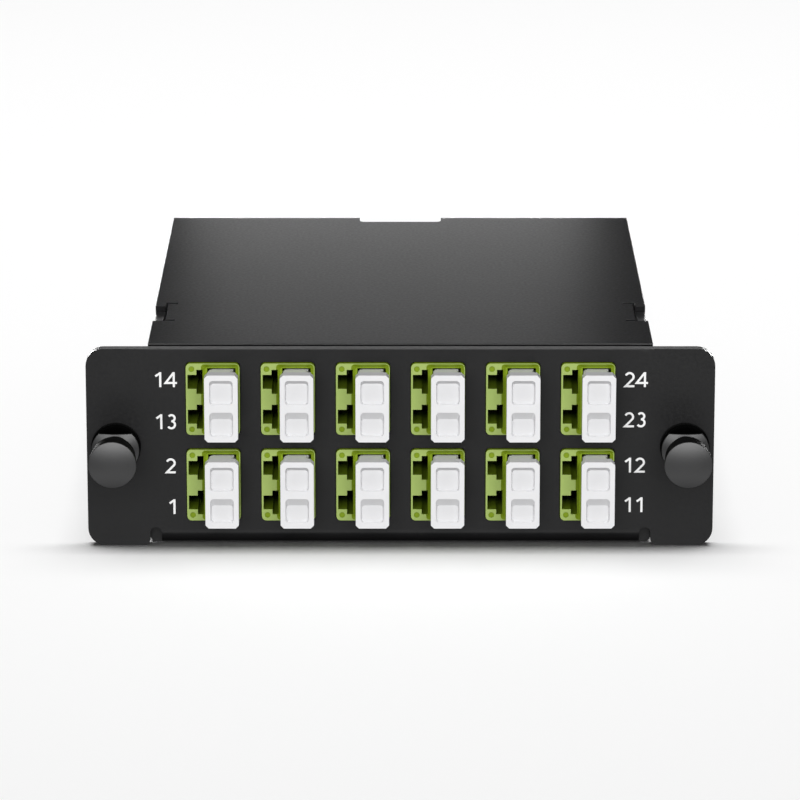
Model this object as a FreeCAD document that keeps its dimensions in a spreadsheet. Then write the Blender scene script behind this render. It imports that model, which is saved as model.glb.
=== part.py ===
import FreeCAD, Part
import math
import os
import Sketcher

os.makedirs("parts", exist_ok=True)
doc = FreeCAD.newDocument("FibreCassette")

# Driving sizes in millimetres. Every body is drawn with the panel's front face at y = 0, the floor's
# underside at z = 0 and the middle of the panel at x = 0.
sizeTable = [
    ("panelWidth", 109.0, "front panel from ear to ear"),
    ("panelHeight", 35.4, "front panel, floor to top edge"),
    ("panelCorner", 3.1, "radius of the panel's four corners"),
    ("traySheet", 2.0, "sheet of the tray"),
    ("bendInside", 1.0, "inside radius of the tray's bends"),
    ("earWidth", 10.7, "each ear beside the box"),
    ("bodyDepth", 102.2, "panel face to the lid's rear face"),
    ("cornerSeam", 0.3, "open seam between two folded walls"),
    ("edgeRound", 0.5, "rolled top edge of the panel over the box"),
    ("cutMargin", 1.0, "how far a cut runs past the sheet"),
    ("reliefEdge", 0.2, "bend relief's outer side in from the box's side"),
    ("reliefWidth", 1.9, "width of a bend relief"),
    ("reliefTop", 3.25, "height of a bend relief"),
    ("reliefRound", 0.85, "radius at the top of a bend relief"),
    ("earFoot", 1.2, "radius of an ear's inner lower corner"),
    ("lidSheet", 1.0, "sheet of the lid"),
    ("lidRise", 0.3, "lid's top face above the panel's top edge"),
    ("lidSetback", 2.6, "panel face to the lid's front edge"),
    ("lidBend", 0.8, "outside radius of the lid's front bend"),
    ("lidRearBend", 1.3, "outside radius of the lid's rear bend"),
    ("lidLip", 2.1, "height of the lid's front flange"),
    ("lidLipGap", 0.3, "lid's front flange to the side walls"),
    ("lidFlange", 9.0, "height of the lid's rear flange"),
    ("notchWidth", 15.6, "notch in the lid's rear edge"),
    ("notchDepth", 4.56, "depth of that notch"),
    ("notchCorner", 1.0, "radius in the notch's corners"),
    ("wallNotch", 3.5, "how far the rear wall is lower at the notch"),
    ("lockStart", 18.95, "panel face to the front of a lock"),
    ("lockLength", 10.85, "length of a lock's pressed strip"),
    ("lockDrop", 1.1, "how far the strip is pressed down at its rear end"),
    ("lockSlit", 0.45, "width of a lock's slits"),
    ("lockInset", 1.8, "width of the pressed strip"),
    ("lockEdge", 0.23, "how far the pressed strip draws in from the side"),
    ("tongueWidth", 2.1, "width of a lock's tongue"),
    ("tongueLength", 12.5, "length of a lock's tongue"),
    ("lockRoom", 0.4, "room in the side wall below and beside the strip"),
    ("columnPitch", 13.0, "adapters, side by side"),
    ("rowPitch", 15.47, "adapters, one above the other"),
    ("rowRaise", 1.1, "rows' middle above the panel's middle"),
    ("rowRoom", 4.2, "room above and below the rows, together"),
    ("columnRoom", 9.4, "room beside the columns, together"),
    ("adapterWidth", 9.3, "adapter housing across the ports"),
    ("adapterHeight", 12.8, "adapter housing along the port pair"),
    ("adapterLength", 27.0, "adapter housing, front to back"),
    ("adapterCorner", 0.8, "radius of the housing's long edges"),
    ("adapterProud", 0.5, "housing in front of the panel"),
    ("adapterGap", 0.15, "clearance round the housing in the panel"),
    ("collarSide", 0.6, "stop collar beyond the housing at the sides"),
    ("collarTop", 0.4, "stop collar beyond the housing at top and foot"),
    ("collarThickness", 0.9, "thickness of the stop collar"),
    ("portPitch", 6.25, "the two ports of one adapter"),
    ("portShift", 1.66, "port axis right of the housing's middle"),
    ("portHalf", 2.3, "half the side of a port's square cavity"),
    ("latchStep", 2.8, "wide part of the latch slot left of the middle"),
    ("latchSlotHalf", 1.25, "half the height of the narrow latch slot"),
    ("slotWall", 0.3, "wall beside the narrow latch slot"),
    ("webThickness", 2.0, "wall between front and rear ports"),
    ("holderRadius", 1.3, "sleeve holder, outside"),
    ("holderLength", 7.4, "sleeve holder, end to end"),
    ("sleeveBore", 0.65, "radius of the bore for the ferrules"),
    ("rimDepth", 0.6, "depth of the bevelled recess round the ports"),
    ("rimSlope", 40.0, "slope of that bevel, in degrees"),
    ("rimWall", 0.35, "flat rim outside the bevel"),
    ("rimStart", 1.75, "left side of the bevelled recess, left of the middle"),
    ("markRadius", 0.5, "round moulding marks in the two left corners"),
    ("markInset", 1.0, "moulding marks from the housing's edges"),
    ("markDepth", 0.2, "depth of the moulding marks"),
    ("capWidth", 5.76, "dust cap's head across"),
    ("capHeight", 11.9, "dust cap's head along the port pair"),
    ("capReach", 7.0, "cap's front face in front of the panel"),
    ("capHead", 2.2, "thickness of the head"),
    ("capFlare", 1.2, "length of the flare behind the head"),
    ("capChamfer", 0.55, "cut corners of the head"),
    ("capNeckChamfer", 0.3, "cut corners of the neck"),
    ("capFit", 0.13, "clearance round a plug in its port"),
    ("capStandoff", 0.3, "neck's end to the adapter's face"),
    ("capPlug", 8.0, "how far the plugs reach into the ports"),
    ("capPocketWidth", 4.07, "recess in the head across"),
    ("capPocketHeight", 4.26, "recess in the head along the pair"),
    ("capPocketPitch", 5.65, "the two recesses of a head"),
    ("capPocketDepth", 1.2, "depth of the recesses"),
    ("capPocketCorner", 0.6, "radius in the recesses' corners"),
    ("latchInset", 5.1, "latch axis from the panel's side"),
    ("latchRaise", 0.2, "latch axis above the panel's middle"),
    ("grommetFlange", 4.3, "radius of the grommet's flange"),
    ("grommetHead", 1.6, "thickness of the grommet's flange"),
    ("grommetRound", 0.5, "rounding of the grommet's flange"),
    ("grommetBarrel", 3.2, "radius of the grommet's barrel"),
    ("grommetBarb", 3.6, "radius of the barrel's snap barb"),
    ("grommetDepth", 9.0, "barrel behind the panel's face"),
    ("grommetTip", 2.7, "radius of the barrel's end"),
    ("grommetSlot", 0.9, "slots that part the barrel into four legs"),
    ("grommetSlotStart", 2.6, "panel face to the start of the slots"),
    ("barrelGap", 0.05, "clearance of the barrel in the panel"),
    ("shankRadius", 2.0, "radius of the plunger's shank"),
    ("shankGap", 0.06, "clearance of the shank in the grommet"),
    ("plungerReach", 12.5, "plunger's face in front of the panel"),
    ("rimRadius", 4.15, "radius of the plunger's rim and collar"),
    ("rimThickness", 1.3, "thickness of the plunger's rim"),
    ("rimRound", 0.25, "rounding of the plunger's edges"),
    ("gripRadius", 3.8, "radius of the grip behind the rim"),
    ("gripWaist", 3.6, "radius of the grip next to the rim"),
    ("gripLength", 5.3, "plunger's face to the end of the grip"),
    ("neckRadius", 2.6, "radius of the plunger's neck"),
    ("collarFront", 3.0, "collar's face in front of the panel"),
    ("collarGap", 0.3, "collar to the grommet at rest"),
    ("collarFlat", 3.0, "flats above and below the collar, from its axis"),
    ("plungerStroke", 4.0, "travel of the plunger"),
    ("bulbRadius", 2.5, "bulb that keeps the plunger in the grommet"),
    ("bulbLength", 1.4, "length of that bulb"),
    ("bulbGap", 0.3, "bulb to the grommet with the plunger pulled"),
    ("rearPortHeight", 17.5, "height of the rear adapter's axis"),
    ("rearAdapterWidth", 12.8, "rear adapter across"),
    ("rearAdapterHeight", 9.3, "height of the rear adapter"),
    ("rearAdapterHalf", 12.5, "rear adapter on each side of its flange seat"),
    ("rearAdapterCorner", 0.6, "radius of its long edges"),
    ("rearFlangeSide", 1.4, "its flange beyond the housing at the sides"),
    ("rearFlangeTop", 1.1, "its flange beyond the housing at top and foot"),
    ("rearFlangeThickness", 1.2, "thickness of its flange"),
    ("rearPortWidth", 10.6, "opening of the rear adapter across"),
    ("rearPortTall", 7.6, "height of the rear adapter's opening"),
    ("rearKeyWidth", 2.8, "keyway above that opening"),
    ("rearKeyDepth", 0.45, "depth of the keyway"),
    ("rearCapHead", 5.0, "length of the rear cap's head"),
    ("rearCapPlug", 8.0, "how far the rear cap reaches into the adapter"),
    ("rearCapRim", 0.2, "rear cap's head inside the adapter's outline"),
    ("rearCapGrip", 1.0, "depth of the finger recess in the rear cap"),
    ("rearCapBand", 1.4, "rims before and behind the finger recess"),
    ("plugFit", 0.15, "clearance of a plug in the rear adapter"),
    ("clipSheet", 0.3, "spring steel of the adapter clips"),
    ("clipLength", 5.0, "clips, front to back"),
    ("clipDrop", 8.5, "height of a clip's legs"),
    ("screwInset", 12.8, "lid screw's axis from the box's side"),
    ("screwDrop", 5.2, "lid's top face to the screws' axis"),
    ("screwHead", 2.75, "radius of a screw's head"),
    ("screwHeadHeight", 1.7, "height of a screw's head"),
    ("screwShank", 1.45, "radius of a screw's shank"),
    ("screwReach", 6.0, "length of a screw's shank"),
    ("screwThread", 1.5, "radius of the tapped hole in the rear wall"),
    ("screwHole", 1.7, "radius of the hole in the lid's flange"),
    ("screwSlotWidth", 0.7, "cross recess of a screw"),
    ("screwSlotLength", 3.0, "length of a cross recess's arms"),
    ("screwSlotDepth", 0.9, "depth of a cross recess"),
    ("plugSide", 4.4, "square body of an inner connector"),
    ("plugTail", 6.5, "inner connector behind the adapter"),
    ("yokeHeight", 11.6, "yoke that joins the two connectors"),
    ("yokeWidth", 6.2, "width of that yoke"),
    ("yokeLead", 1.0, "adapter's rear end to the yoke"),
    ("bootLength", 9.0, "boots of the inner connectors"),
    ("bootWide", 1.7, "radius of a boot at its connector"),
    ("bootNarrow", 0.9, "radius of a boot at its end"),
    ("ferruleRadius", 0.625, "ferrule of an inner connector"),
    ("armThickness", 0.6, "latch arm of an inner connector"),
    ("armHalf", 1.0, "half the width of a latch arm"),
    ("leadThickness", 0.9, "pair of fibre leads, thickness"),
    ("leadHeight", 1.8, "pair of fibre leads, height"),
    ("leadPitch", 2.4, "leads at the fan-out block"),
    ("leadStraight", 4.3, "straight part of a lead at each end"),
    ("leadBend", 5.0, "radius of a lead's bends"),
    ("fanWidth", 16.0, "fan-out block across"),
    ("fanHeight", 7.5, "height of the fan-out block"),
    ("fanLength", 16.0, "length of the fan-out block"),
    ("fanBack", 3.4, "fan-out block behind the middle of its free room"),
    ("fanRow", 3.1, "lower leads above the floor"),
    ("trunkBody", 19.5, "trunk connector, front to back"),
    ("trunkInsert", 9.5, "how far the trunk connector reaches in"),
    ("trunkSleeveWidth", 12.2, "coupling sleeve across"),
    ("trunkSleeveHeight", 7.8, "height of the coupling sleeve"),
    ("trunkBoot", 10.0, "length of the trunk boot"),
    ("trunkBootWide", 2.8, "radius of the trunk boot at its connector"),
    ("cordRadius", 1.0, "radius of the trunk cord"),
    ("cordStraight", 0.5, "cord straight out of its boot and its block"),
    ("cordBend", 7.5, "radius of the cord's bends behind the ports"),
    ("cordReturn", 11.5, "radius of the cord's return bend"),
]

sheet = doc.addObject("Spreadsheet::Sheet", "Sizes")
for row, (alias, number, note) in enumerate(sizeTable, start=1):
    sheet.set("A%d" % row, alias)
    sheet.set("B%d" % row, str(number))
    sheet.set("C%d" % row, note)
    sheet.setAlias("B%d" % row, alias)
doc.recompute()


class Size:
    """A length that knows both its value and the expression over the sheet that gives it."""

    def __init__(self, number, text=None):
        self.number = number
        self.text = text if text is not None else "(%r)" % number

    def combined(self, sign, other, number, flipped=False):
        other = other if isinstance(other, Size) else Size(other)
        first, second = (other, self) if flipped else (self, other)
        return Size(number, "(%s %s %s)" % (first.text, sign, second.text))

    def __add__(self, other):
        return self.combined("+", other, self.number + plain(other))

    def __radd__(self, other):
        return self.combined("+", other, plain(other) + self.number, True)

    def __sub__(self, other):
        return self.combined("-", other, self.number - plain(other))

    def __rsub__(self, other):
        return self.combined("-", other, plain(other) - self.number, True)

    def __mul__(self, other):
        return self.combined("*", other, self.number * plain(other))

    def __rmul__(self, other):
        return self.combined("*", other, plain(other) * self.number, True)

    def __truediv__(self, other):
        return self.combined("/", other, self.number / plain(other))

    def __neg__(self):
        return Size(-self.number, "(-%s)" % self.text)


def plain(amount):
    return amount.number if isinstance(amount, Size) else float(amount)


class Sizes:
    """The sheet's cells as attributes, named by their aliases."""


s = Sizes()
for alias, number, note in sizeTable:
    setattr(s, alias, Size(float(sheet.get(alias)), "Sizes." + alias))


def bind(thing, name, amount):
    if isinstance(amount, Size):
        thing.setExpression(name, amount.text)
    else:
        thing.setExpression(name, "%r" % float(amount))


# Lengths that several pieces share.
lidTop = s.panelHeight + s.lidRise
lidUnder = lidTop - s.lidSheet
bodyWidth = s.panelWidth - s.earWidth * 2
halfBody = bodyWidth / 2
reliefOuter = halfBody - s.reliefEdge
reliefInner = reliefOuter - s.reliefWidth
latchSpan = s.panelWidth - s.latchInset * 2
screwSpan = bodyWidth - s.screwInset * 2
rowMiddle = s.panelHeight / 2 + s.rowRaise
bendOutside = s.bendInside + s.traySheet
wallFront = s.traySheet + s.cornerSeam
wallRear = s.bodyDepth - s.lidSheet
latchHeight = s.panelHeight / 2 + s.latchRaise
adapterFront = -s.adapterProud
adapterRear = s.adapterLength - s.adapterProud
portMiddle = (adapterFront + adapterRear) / 2
rearPortEnd = wallRear + s.rearAdapterHalf
rearPortInner = wallRear - s.rearAdapterHalf
rearWallTop = lidUnder - s.cornerSeam
bootEnd = adapterRear + s.plugTail + s.bootLength
fanFront = (bootEnd + wallRear - s.traySheet) / 2 + s.fanBack - s.fanLength / 2
overallFront = -s.plungerReach
overallRear = rearPortEnd + s.plugFit * 2 + s.rearCapHead
frameShift = -(overallFront + overallRear) / 2

columnCount = int((bodyWidth.number - s.columnRoom.number) / s.columnPitch.number)
rowCount = int((s.panelHeight.number - s.rowRoom.number) / s.rowPitch.number)
middleColumn = (columnCount - 1) / 2
rowHeights = [rowMiddle + s.rowPitch * (row - (rowCount - 1) / 2) for row in range(rowCount)]
planeSign = {"XY": 1, "XZ": -1, "YZ": 1}


def originPlane(body, plane):
    for feature in body.Origin.OriginFeatures:
        if feature.Role == plane + "_Plane":
            return feature
    raise ValueError("no origin plane " + plane)


def newSketch(body, name, plane, level=0.0):
    """A sketch on one of the body's own planes, moved along that plane's axis to level."""
    sketch = body.newObject("Sketcher::SketchObject", name)
    sketch.AttachmentSupport = (originPlane(body, plane), [""])
    sketch.MapMode = "FlatFace"
    if plain(level) != 0.0 or isinstance(level, Size):
        bind(sketch, ".AttachmentOffset.Base.z", level * planeSign[plane])
    return sketch


def pinPoint(sketch, geometry, point, corner):
    for kind, amount in (("DistanceX", corner[0]), ("DistanceY", corner[1])):
        index = sketch.addConstraint(Sketcher.Constraint(kind, -1, 1, geometry, point, plain(amount)))
        if isinstance(amount, Size):
            sketch.setExpression("Constraints[%d]" % index, amount.text)


def towards(corner, other, reach):
    """The point at reach from corner along the straight, axis-parallel side to other."""
    across = plain(other[0]) - plain(corner[0])
    along = plain(other[1]) - plain(corner[1])
    if abs(across) > abs(along):
        return (corner[0] + reach * math.copysign(1, across), corner[1])
    return (corner[0], corner[1] + reach * math.copysign(1, along))


def vector(corner):
    return FreeCAD.Vector(plain(corner[0]), plain(corner[1]), 0)


def drawArc(sketch, start, end, corner, radius):
    """A quarter round from start to end in place of a square corner."""
    reach = plain(radius)
    centre = vector(start) + vector(end) - vector(corner)
    first = vector(start) - centre
    last = vector(end) - centre
    turnsLeft = first.x * last.y - first.y * last.x > 0
    angles = [math.atan2(first.y, first.x), math.atan2(last.y, last.x)]
    if not turnsLeft:
        angles.reverse()
    circle = Part.Circle(centre, FreeCAD.Vector(0, 0, 1), reach)
    index = sketch.addGeometry(Part.ArcOfCircle(circle, angles[0], angles[1]), False)
    mark = sketch.addConstraint(Sketcher.Constraint("Radius", index, reach))
    bind(sketch, "Constraints[%d]" % mark, radius)
    return index, (1, 2) if turnsLeft else (2, 1)


def drawLoop(sketch, corners):
    """A closed outline of straight sides; a corner with a third entry is rounded by that radius."""
    ways = []
    for place, corner in enumerate(corners):
        if len(corner) == 3:
            before = corners[place - 1]
            after = corners[(place + 1) % len(corners)]
            ways.append([towards(corner, before, corner[2]), towards(corner, after, corner[2])])
        else:
            ways.append([corner])
    lines = []
    for place in range(len(corners)):
        start = ways[place][-1]
        end = ways[(place + 1) % len(corners)][0]
        lines.append(sketch.addGeometry(Part.LineSegment(vector(start), vector(end)), False))
    for place, corner in enumerate(corners):
        lineIn = lines[place - 1]
        lineOut = lines[place]
        pinPoint(sketch, lineOut, 1, ways[place][-1])
        if len(corner) == 3:
            pinPoint(sketch, lineIn, 2, ways[place][0])
            arc, ends = drawArc(sketch, ways[place][0], ways[place][1], corner, corner[2])
            sketch.addConstraint(Sketcher.Constraint("Coincident", arc, ends[0], lineIn, 2))
            sketch.addConstraint(Sketcher.Constraint("Coincident", arc, ends[1], lineOut, 1))
        else:
            sketch.addConstraint(Sketcher.Constraint("Coincident", lineIn, 2, lineOut, 1))


def drawCircle(sketch, centre, radius):
    circle = Part.Circle(vector(centre), FreeCAD.Vector(0, 0, 1), plain(radius))
    index = sketch.addGeometry(circle, False)
    pinPoint(sketch, index, 3, centre)
    mark = sketch.addConstraint(Sketcher.Constraint("Radius", index, plain(radius)))
    bind(sketch, "Constraints[%d]" % mark, radius)


def rectangle(left, low, right, high, radius=None):
    corners = [(left, low), (right, low), (right, high), (left, high)]
    if radius is None:
        return corners
    return [corner + (radius,) for corner in corners]


def cutCorners(halfWidth, halfHeight, cut):
    """An upright rectangle about the origin with its four corners cut off."""
    return [
        (-halfWidth + cut, -halfHeight),
        (halfWidth - cut, -halfHeight),
        (halfWidth, -halfHeight + cut),
        (halfWidth, halfHeight - cut),
        (halfWidth - cut, halfHeight),
        (-halfWidth + cut, halfHeight),
        (-halfWidth, halfHeight - cut),
        (-halfWidth, -halfHeight + cut),
    ]


def newBody(label, place=True):
    body = doc.addObject("PartDesign::Body", label)
    body.Label = label
    if place:
        bind(body, ".Placement.Base.y", frameShift)
    return body


def extrude(body, kind, name, plane, level, length, loops, circles, toward):
    sketch = newSketch(body, name + "Sketch", plane, level)
    for corners in loops:
        drawLoop(sketch, corners)
    for centre, radius in circles:
        drawCircle(sketch, centre, radius)
    feature = body.newObject("PartDesign::" + kind, name)
    feature.Profile = sketch
    bind(feature, "Length", length)
    sense = toward * planeSign[plane]
    feature.Reversed = sense < 0 if kind == "Pad" else sense > 0
    return feature


def pad(body, name, plane, level, length, loops=(), circles=(), toward=1):
    return extrude(body, "Pad", name, plane, level, length, loops, circles, toward)


def pocket(body, name, plane, level, length, loops=(), circles=(), toward=1):
    """A cut from level towards the given side; it has to take material away."""
    doc.recompute()
    before = body.Shape.Volume
    feature = extrude(body, "Pocket", name, plane, level, length, loops, circles, toward)
    doc.recompute()
    if body.Shape.Volume > before - 1e-6:
        raise ValueError("the cut %s removes nothing" % name)
    return feature


def revolve(body, name, outline):
    """A solid turned about the body's y axis from an outline of (y, radius) corners."""
    sketch = newSketch(body, name + "Sketch", "YZ")
    drawLoop(sketch, outline)
    feature = body.newObject("PartDesign::Revolution", name)
    feature.Profile = sketch
    feature.ReferenceAxis = (sketch, ["H_Axis"])
    feature.Angle = 360
    return feature


def cloneOf(model, label, across, along, height):
    """A piece that follows its model body, set at its own place."""
    piece = doc.addObject("PartDesign::Body", label)
    piece.Label = label
    clone = doc.addObject("PartDesign::FeatureBase", label + "_clone")
    clone.BaseFeature = model
    piece.Group = [clone]
    piece.Tip = clone
    bind(piece, ".Placement.Base.x", across)
    bind(piece, ".Placement.Base.y", along)
    bind(piece, ".Placement.Base.z", height)
    return piece


def makeTray():
    body = newBody("tray")
    inner = halfBody - s.traySheet
    floorTop = s.traySheet
    pad(body, "SideWalls", "XZ", wallFront, wallRear - s.cornerSeam - wallFront, [[
        (-halfBody, lidUnder),
        (-halfBody, Size(0.0), bendOutside),
        (halfBody, Size(0.0), bendOutside),
        (halfBody, lidUnder),
        (inner, lidUnder),
        (inner, floorTop, s.bendInside),
        (-inner, floorTop, s.bendInside),
        (-inner, lidUnder),
    ]])
    rearCorner = wallRear - bendOutside
    for name, sign in (("LeftRearRelief", -1), ("RightRearRelief", 1)):
        pocket(body, name, "XY", -s.cutMargin, s.cutMargin + s.reliefTop, [[
            (reliefInner * sign, rearCorner),
            ((halfBody + s.cutMargin) * sign, rearCorner),
            ((halfBody + s.cutMargin) * sign, wallRear + s.cutMargin),
            (reliefInner * sign, wallRear + s.cutMargin),
        ]])
    pocket(body, "RearEdgeRoom", "YZ", -reliefInner, reliefInner * 2, [
        rectangle(rearCorner, -s.cutMargin, wallRear + s.cutMargin, s.reliefTop)])
    folded = pad(body, "PanelFloorAndRearWall", "YZ", -reliefInner, reliefInner * 2, [[
        (Size(0.0), s.panelHeight),
        (Size(0.0), Size(0.0), bendOutside),
        (wallRear, Size(0.0), bendOutside),
        (wallRear, rearWallTop),
        (wallRear - s.traySheet, rearWallTop),
        (wallRear - s.traySheet, floorTop, s.bendInside),
        (s.traySheet, floorTop, s.bendInside),
        (s.traySheet, s.panelHeight),
    ]])
    ear = s.panelWidth / 2
    pad(body, "PanelWithEars", "XZ", Size(0.0), s.traySheet, [[
        (-ear, Size(0.0), s.panelCorner),
        (-reliefOuter, Size(0.0), s.earFoot),
        (-reliefOuter, s.reliefTop, s.reliefRound),
        (-reliefInner, s.reliefTop, s.reliefRound),
        (-reliefInner, bendOutside),
        (reliefInner, bendOutside),
        (reliefInner, s.reliefTop, s.reliefRound),
        (reliefOuter, s.reliefTop, s.reliefRound),
        (reliefOuter, Size(0.0), s.earFoot),
        (ear, Size(0.0), s.panelCorner),
        (ear, s.panelHeight, s.panelCorner),
        (-ear, s.panelHeight, s.panelCorner),
    ]])
    pocket(body, "RolledEdge", "YZ", -halfBody, bodyWidth, [[
        (-s.cutMargin, s.panelHeight + s.cutMargin),
        (-s.cutMargin, s.panelHeight - s.edgeRound * 2),
        (Size(0.0), s.panelHeight - s.edgeRound * 2),
        (Size(0.0), s.panelHeight, s.edgeRound),
        (s.edgeRound * 2, s.panelHeight),
        (s.edgeRound * 2, s.panelHeight + s.cutMargin),
    ]])
    halfOpening = s.adapterWidth / 2 + s.adapterGap
    tallOpening = s.adapterHeight / 2 + s.adapterGap
    firstColumn = s.columnPitch * -middleColumn
    firstPair = pocket(body, "FirstOpenings", "XZ", -s.cutMargin, s.traySheet + s.cutMargin * 2, [
        rectangle(firstColumn - halfOpening, height - tallOpening, firstColumn + halfOpening,
                  height + tallOpening, s.adapterCorner)
        for height in rowHeights])
    columns = body.newObject("PartDesign::LinearPattern", "AdapterOpenings")
    columns.Originals = [firstPair]
    columns.Direction = (firstPair.Profile[0], ["H_Axis"])
    bind(columns, "Length", s.columnPitch * (columnCount - 1))
    columns.Occurrences = columnCount
    body.Tip = columns
    before = body.Shape.Volume
    doc.recompute()
    if body.Shape.Volume > before - 1e-6:
        raise ValueError("the openings were not repeated")
    holeRadius = s.grommetBarrel + s.barrelGap
    pocket(body, "LatchHoles", "XZ", -s.cutMargin, s.traySheet + s.cutMargin * 2, circles=[
        ((latchSpan / 2, latchHeight), holeRadius),
        ((-latchSpan / 2, latchHeight), holeRadius)])
    rearHalf = s.rearAdapterWidth / 2 + s.adapterGap
    rearTall = s.rearAdapterHeight / 2 + s.adapterGap
    screwHeight = lidTop - s.screwDrop
    pocket(body, "RearOpenings", "XZ", wallRear - s.traySheet - s.cutMargin, s.traySheet + s.cutMargin * 2, [
        rectangle(-rearHalf, s.rearPortHeight - rearTall, rearHalf, s.rearPortHeight + rearTall,
                  s.rearAdapterCorner),
        rectangle(-s.notchWidth / 2, rearWallTop - s.wallNotch, s.notchWidth / 2,
                  rearWallTop + s.cutMargin)],
        circles=[((screwSpan / 2, screwHeight), s.screwThread),
                 ((-screwSpan / 2, screwHeight), s.screwThread)])
    lockEnd = s.lockStart + s.lockLength
    pocket(body, "LockNotches", "YZ", -halfBody - s.cutMargin, bodyWidth + s.cutMargin * 2, [
        rectangle(s.lockStart - s.lockRoom, lidUnder - s.lockDrop - s.lockRoom,
                  lockEnd + s.lockRoom, lidUnder + s.cutMargin)])
    return body


def makeLid():
    body = newBody("lid")
    pad(body, "FoldedSheet", "YZ", -halfBody, bodyWidth, [[
        (s.lidSetback, lidTop - s.lidLip),
        (s.lidSetback, lidTop, s.lidBend),
        (s.bodyDepth, lidTop, s.lidRearBend),
        (s.bodyDepth, lidTop - s.lidFlange),
        (wallRear, lidTop - s.lidFlange),
        (wallRear, lidUnder, s.lidRearBend - s.lidSheet),
        (s.lidSetback + s.lidSheet, lidUnder),
        (s.lidSetback + s.lidSheet, lidTop - s.lidLip),
    ]])
    lipHalf = halfBody - s.traySheet - s.lidLipGap
    for name, sign in (("LeftLipEnd", -1), ("RightLipEnd", 1)):
        pocket(body, name, "XZ", s.lidSetback - s.cutMargin, s.lidSheet + s.cutMargin * 2, [[
            (lipHalf * sign, lidTop - s.lidLip - s.cutMargin),
            ((halfBody + s.cutMargin) * sign, lidTop - s.lidLip - s.cutMargin),
            ((halfBody + s.cutMargin) * sign, lidUnder),
            (lipHalf * sign, lidUnder),
        ]])
    halfNotch = s.notchWidth / 2
    notchFront = s.bodyDepth - s.notchDepth
    pocket(body, "PryNotch", "XY", lidTop + s.cutMargin, s.lidFlange + s.cutMargin * 2, [[
        (-halfNotch, notchFront, s.notchCorner),
        (halfNotch, notchFront, s.notchCorner),
        (halfNotch, s.bodyDepth + s.cutMargin),
        (-halfNotch, s.bodyDepth + s.cutMargin),
    ]], toward=-1)
    slitEdge = halfBody - s.lockInset
    tongueFront = s.lockStart + s.lockSlit
    tongueRear = tongueFront + s.tongueLength
    tongueInner = slitEdge - s.tongueWidth
    lockEnd = s.lockStart + s.lockLength
    slits = []
    strips = []
    for sign in (-1, 1):
        slits.append([
            (slitEdge * sign, tongueFront - s.lockSlit),
            (tongueInner * sign, tongueFront - s.lockSlit),
            (tongueInner * sign, tongueFront),
            ((slitEdge - s.lockSlit) * sign, tongueFront),
            ((slitEdge - s.lockSlit) * sign, tongueRear),
            (tongueInner * sign, tongueRear),
            (tongueInner * sign, tongueRear + s.lockSlit),
            (slitEdge * sign, tongueRear + s.lockSlit),
        ])
        strips.append([
            (slitEdge * sign, s.lockStart),
            ((halfBody + s.cutMargin) * sign, s.lockStart),
            ((halfBody + s.cutMargin) * sign, lockEnd),
            (slitEdge * sign, lockEnd),
        ])
    pocket(body, "LockSlits", "XY", lidTop + s.cutMargin, s.lidSheet + s.cutMargin * 2, slits, toward=-1)
    pocket(body, "StripRoom", "XY", lidTop + s.cutMargin, s.lidSheet + s.cutMargin * 2, strips, toward=-1)
    ramp = [
        (s.lockStart, lidTop),
        (lockEnd, lidTop - s.lockDrop),
        (lockEnd, lidUnder - s.lockDrop),
        (s.lockStart, lidUnder),
    ]
    pad(body, "LeftStrip", "YZ", -halfBody + s.lockEdge, s.lockInset - s.lockEdge, [ramp])
    pad(body, "RightStrip", "YZ", slitEdge, s.lockInset - s.lockEdge, [ramp])
    screwHeight = lidTop - s.screwDrop
    pocket(body, "ScrewHoles", "XZ", wallRear - s.cutMargin, s.lidSheet + s.cutMargin * 2, circles=[
        ((screwSpan / 2, screwHeight), s.screwHole),
        ((-screwSpan / 2, screwHeight), s.screwHole)])
    return body


def portOutline(height):
    """The T-shaped mouth of one port: latch slot at the left, square cavity at the right."""
    slotLeft = -s.adapterWidth / 2 + s.slotWall
    right = s.portShift + s.portHalf
    return [
        (slotLeft, height - s.latchSlotHalf),
        (-s.latchStep, height - s.latchSlotHalf),
        (-s.latchStep, height - s.portHalf),
        (right, height - s.portHalf),
        (right, height + s.portHalf),
        (-s.latchStep, height + s.portHalf),
        (-s.latchStep, height + s.latchSlotHalf),
        (slotLeft, height + s.latchSlotHalf),
    ]


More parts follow.
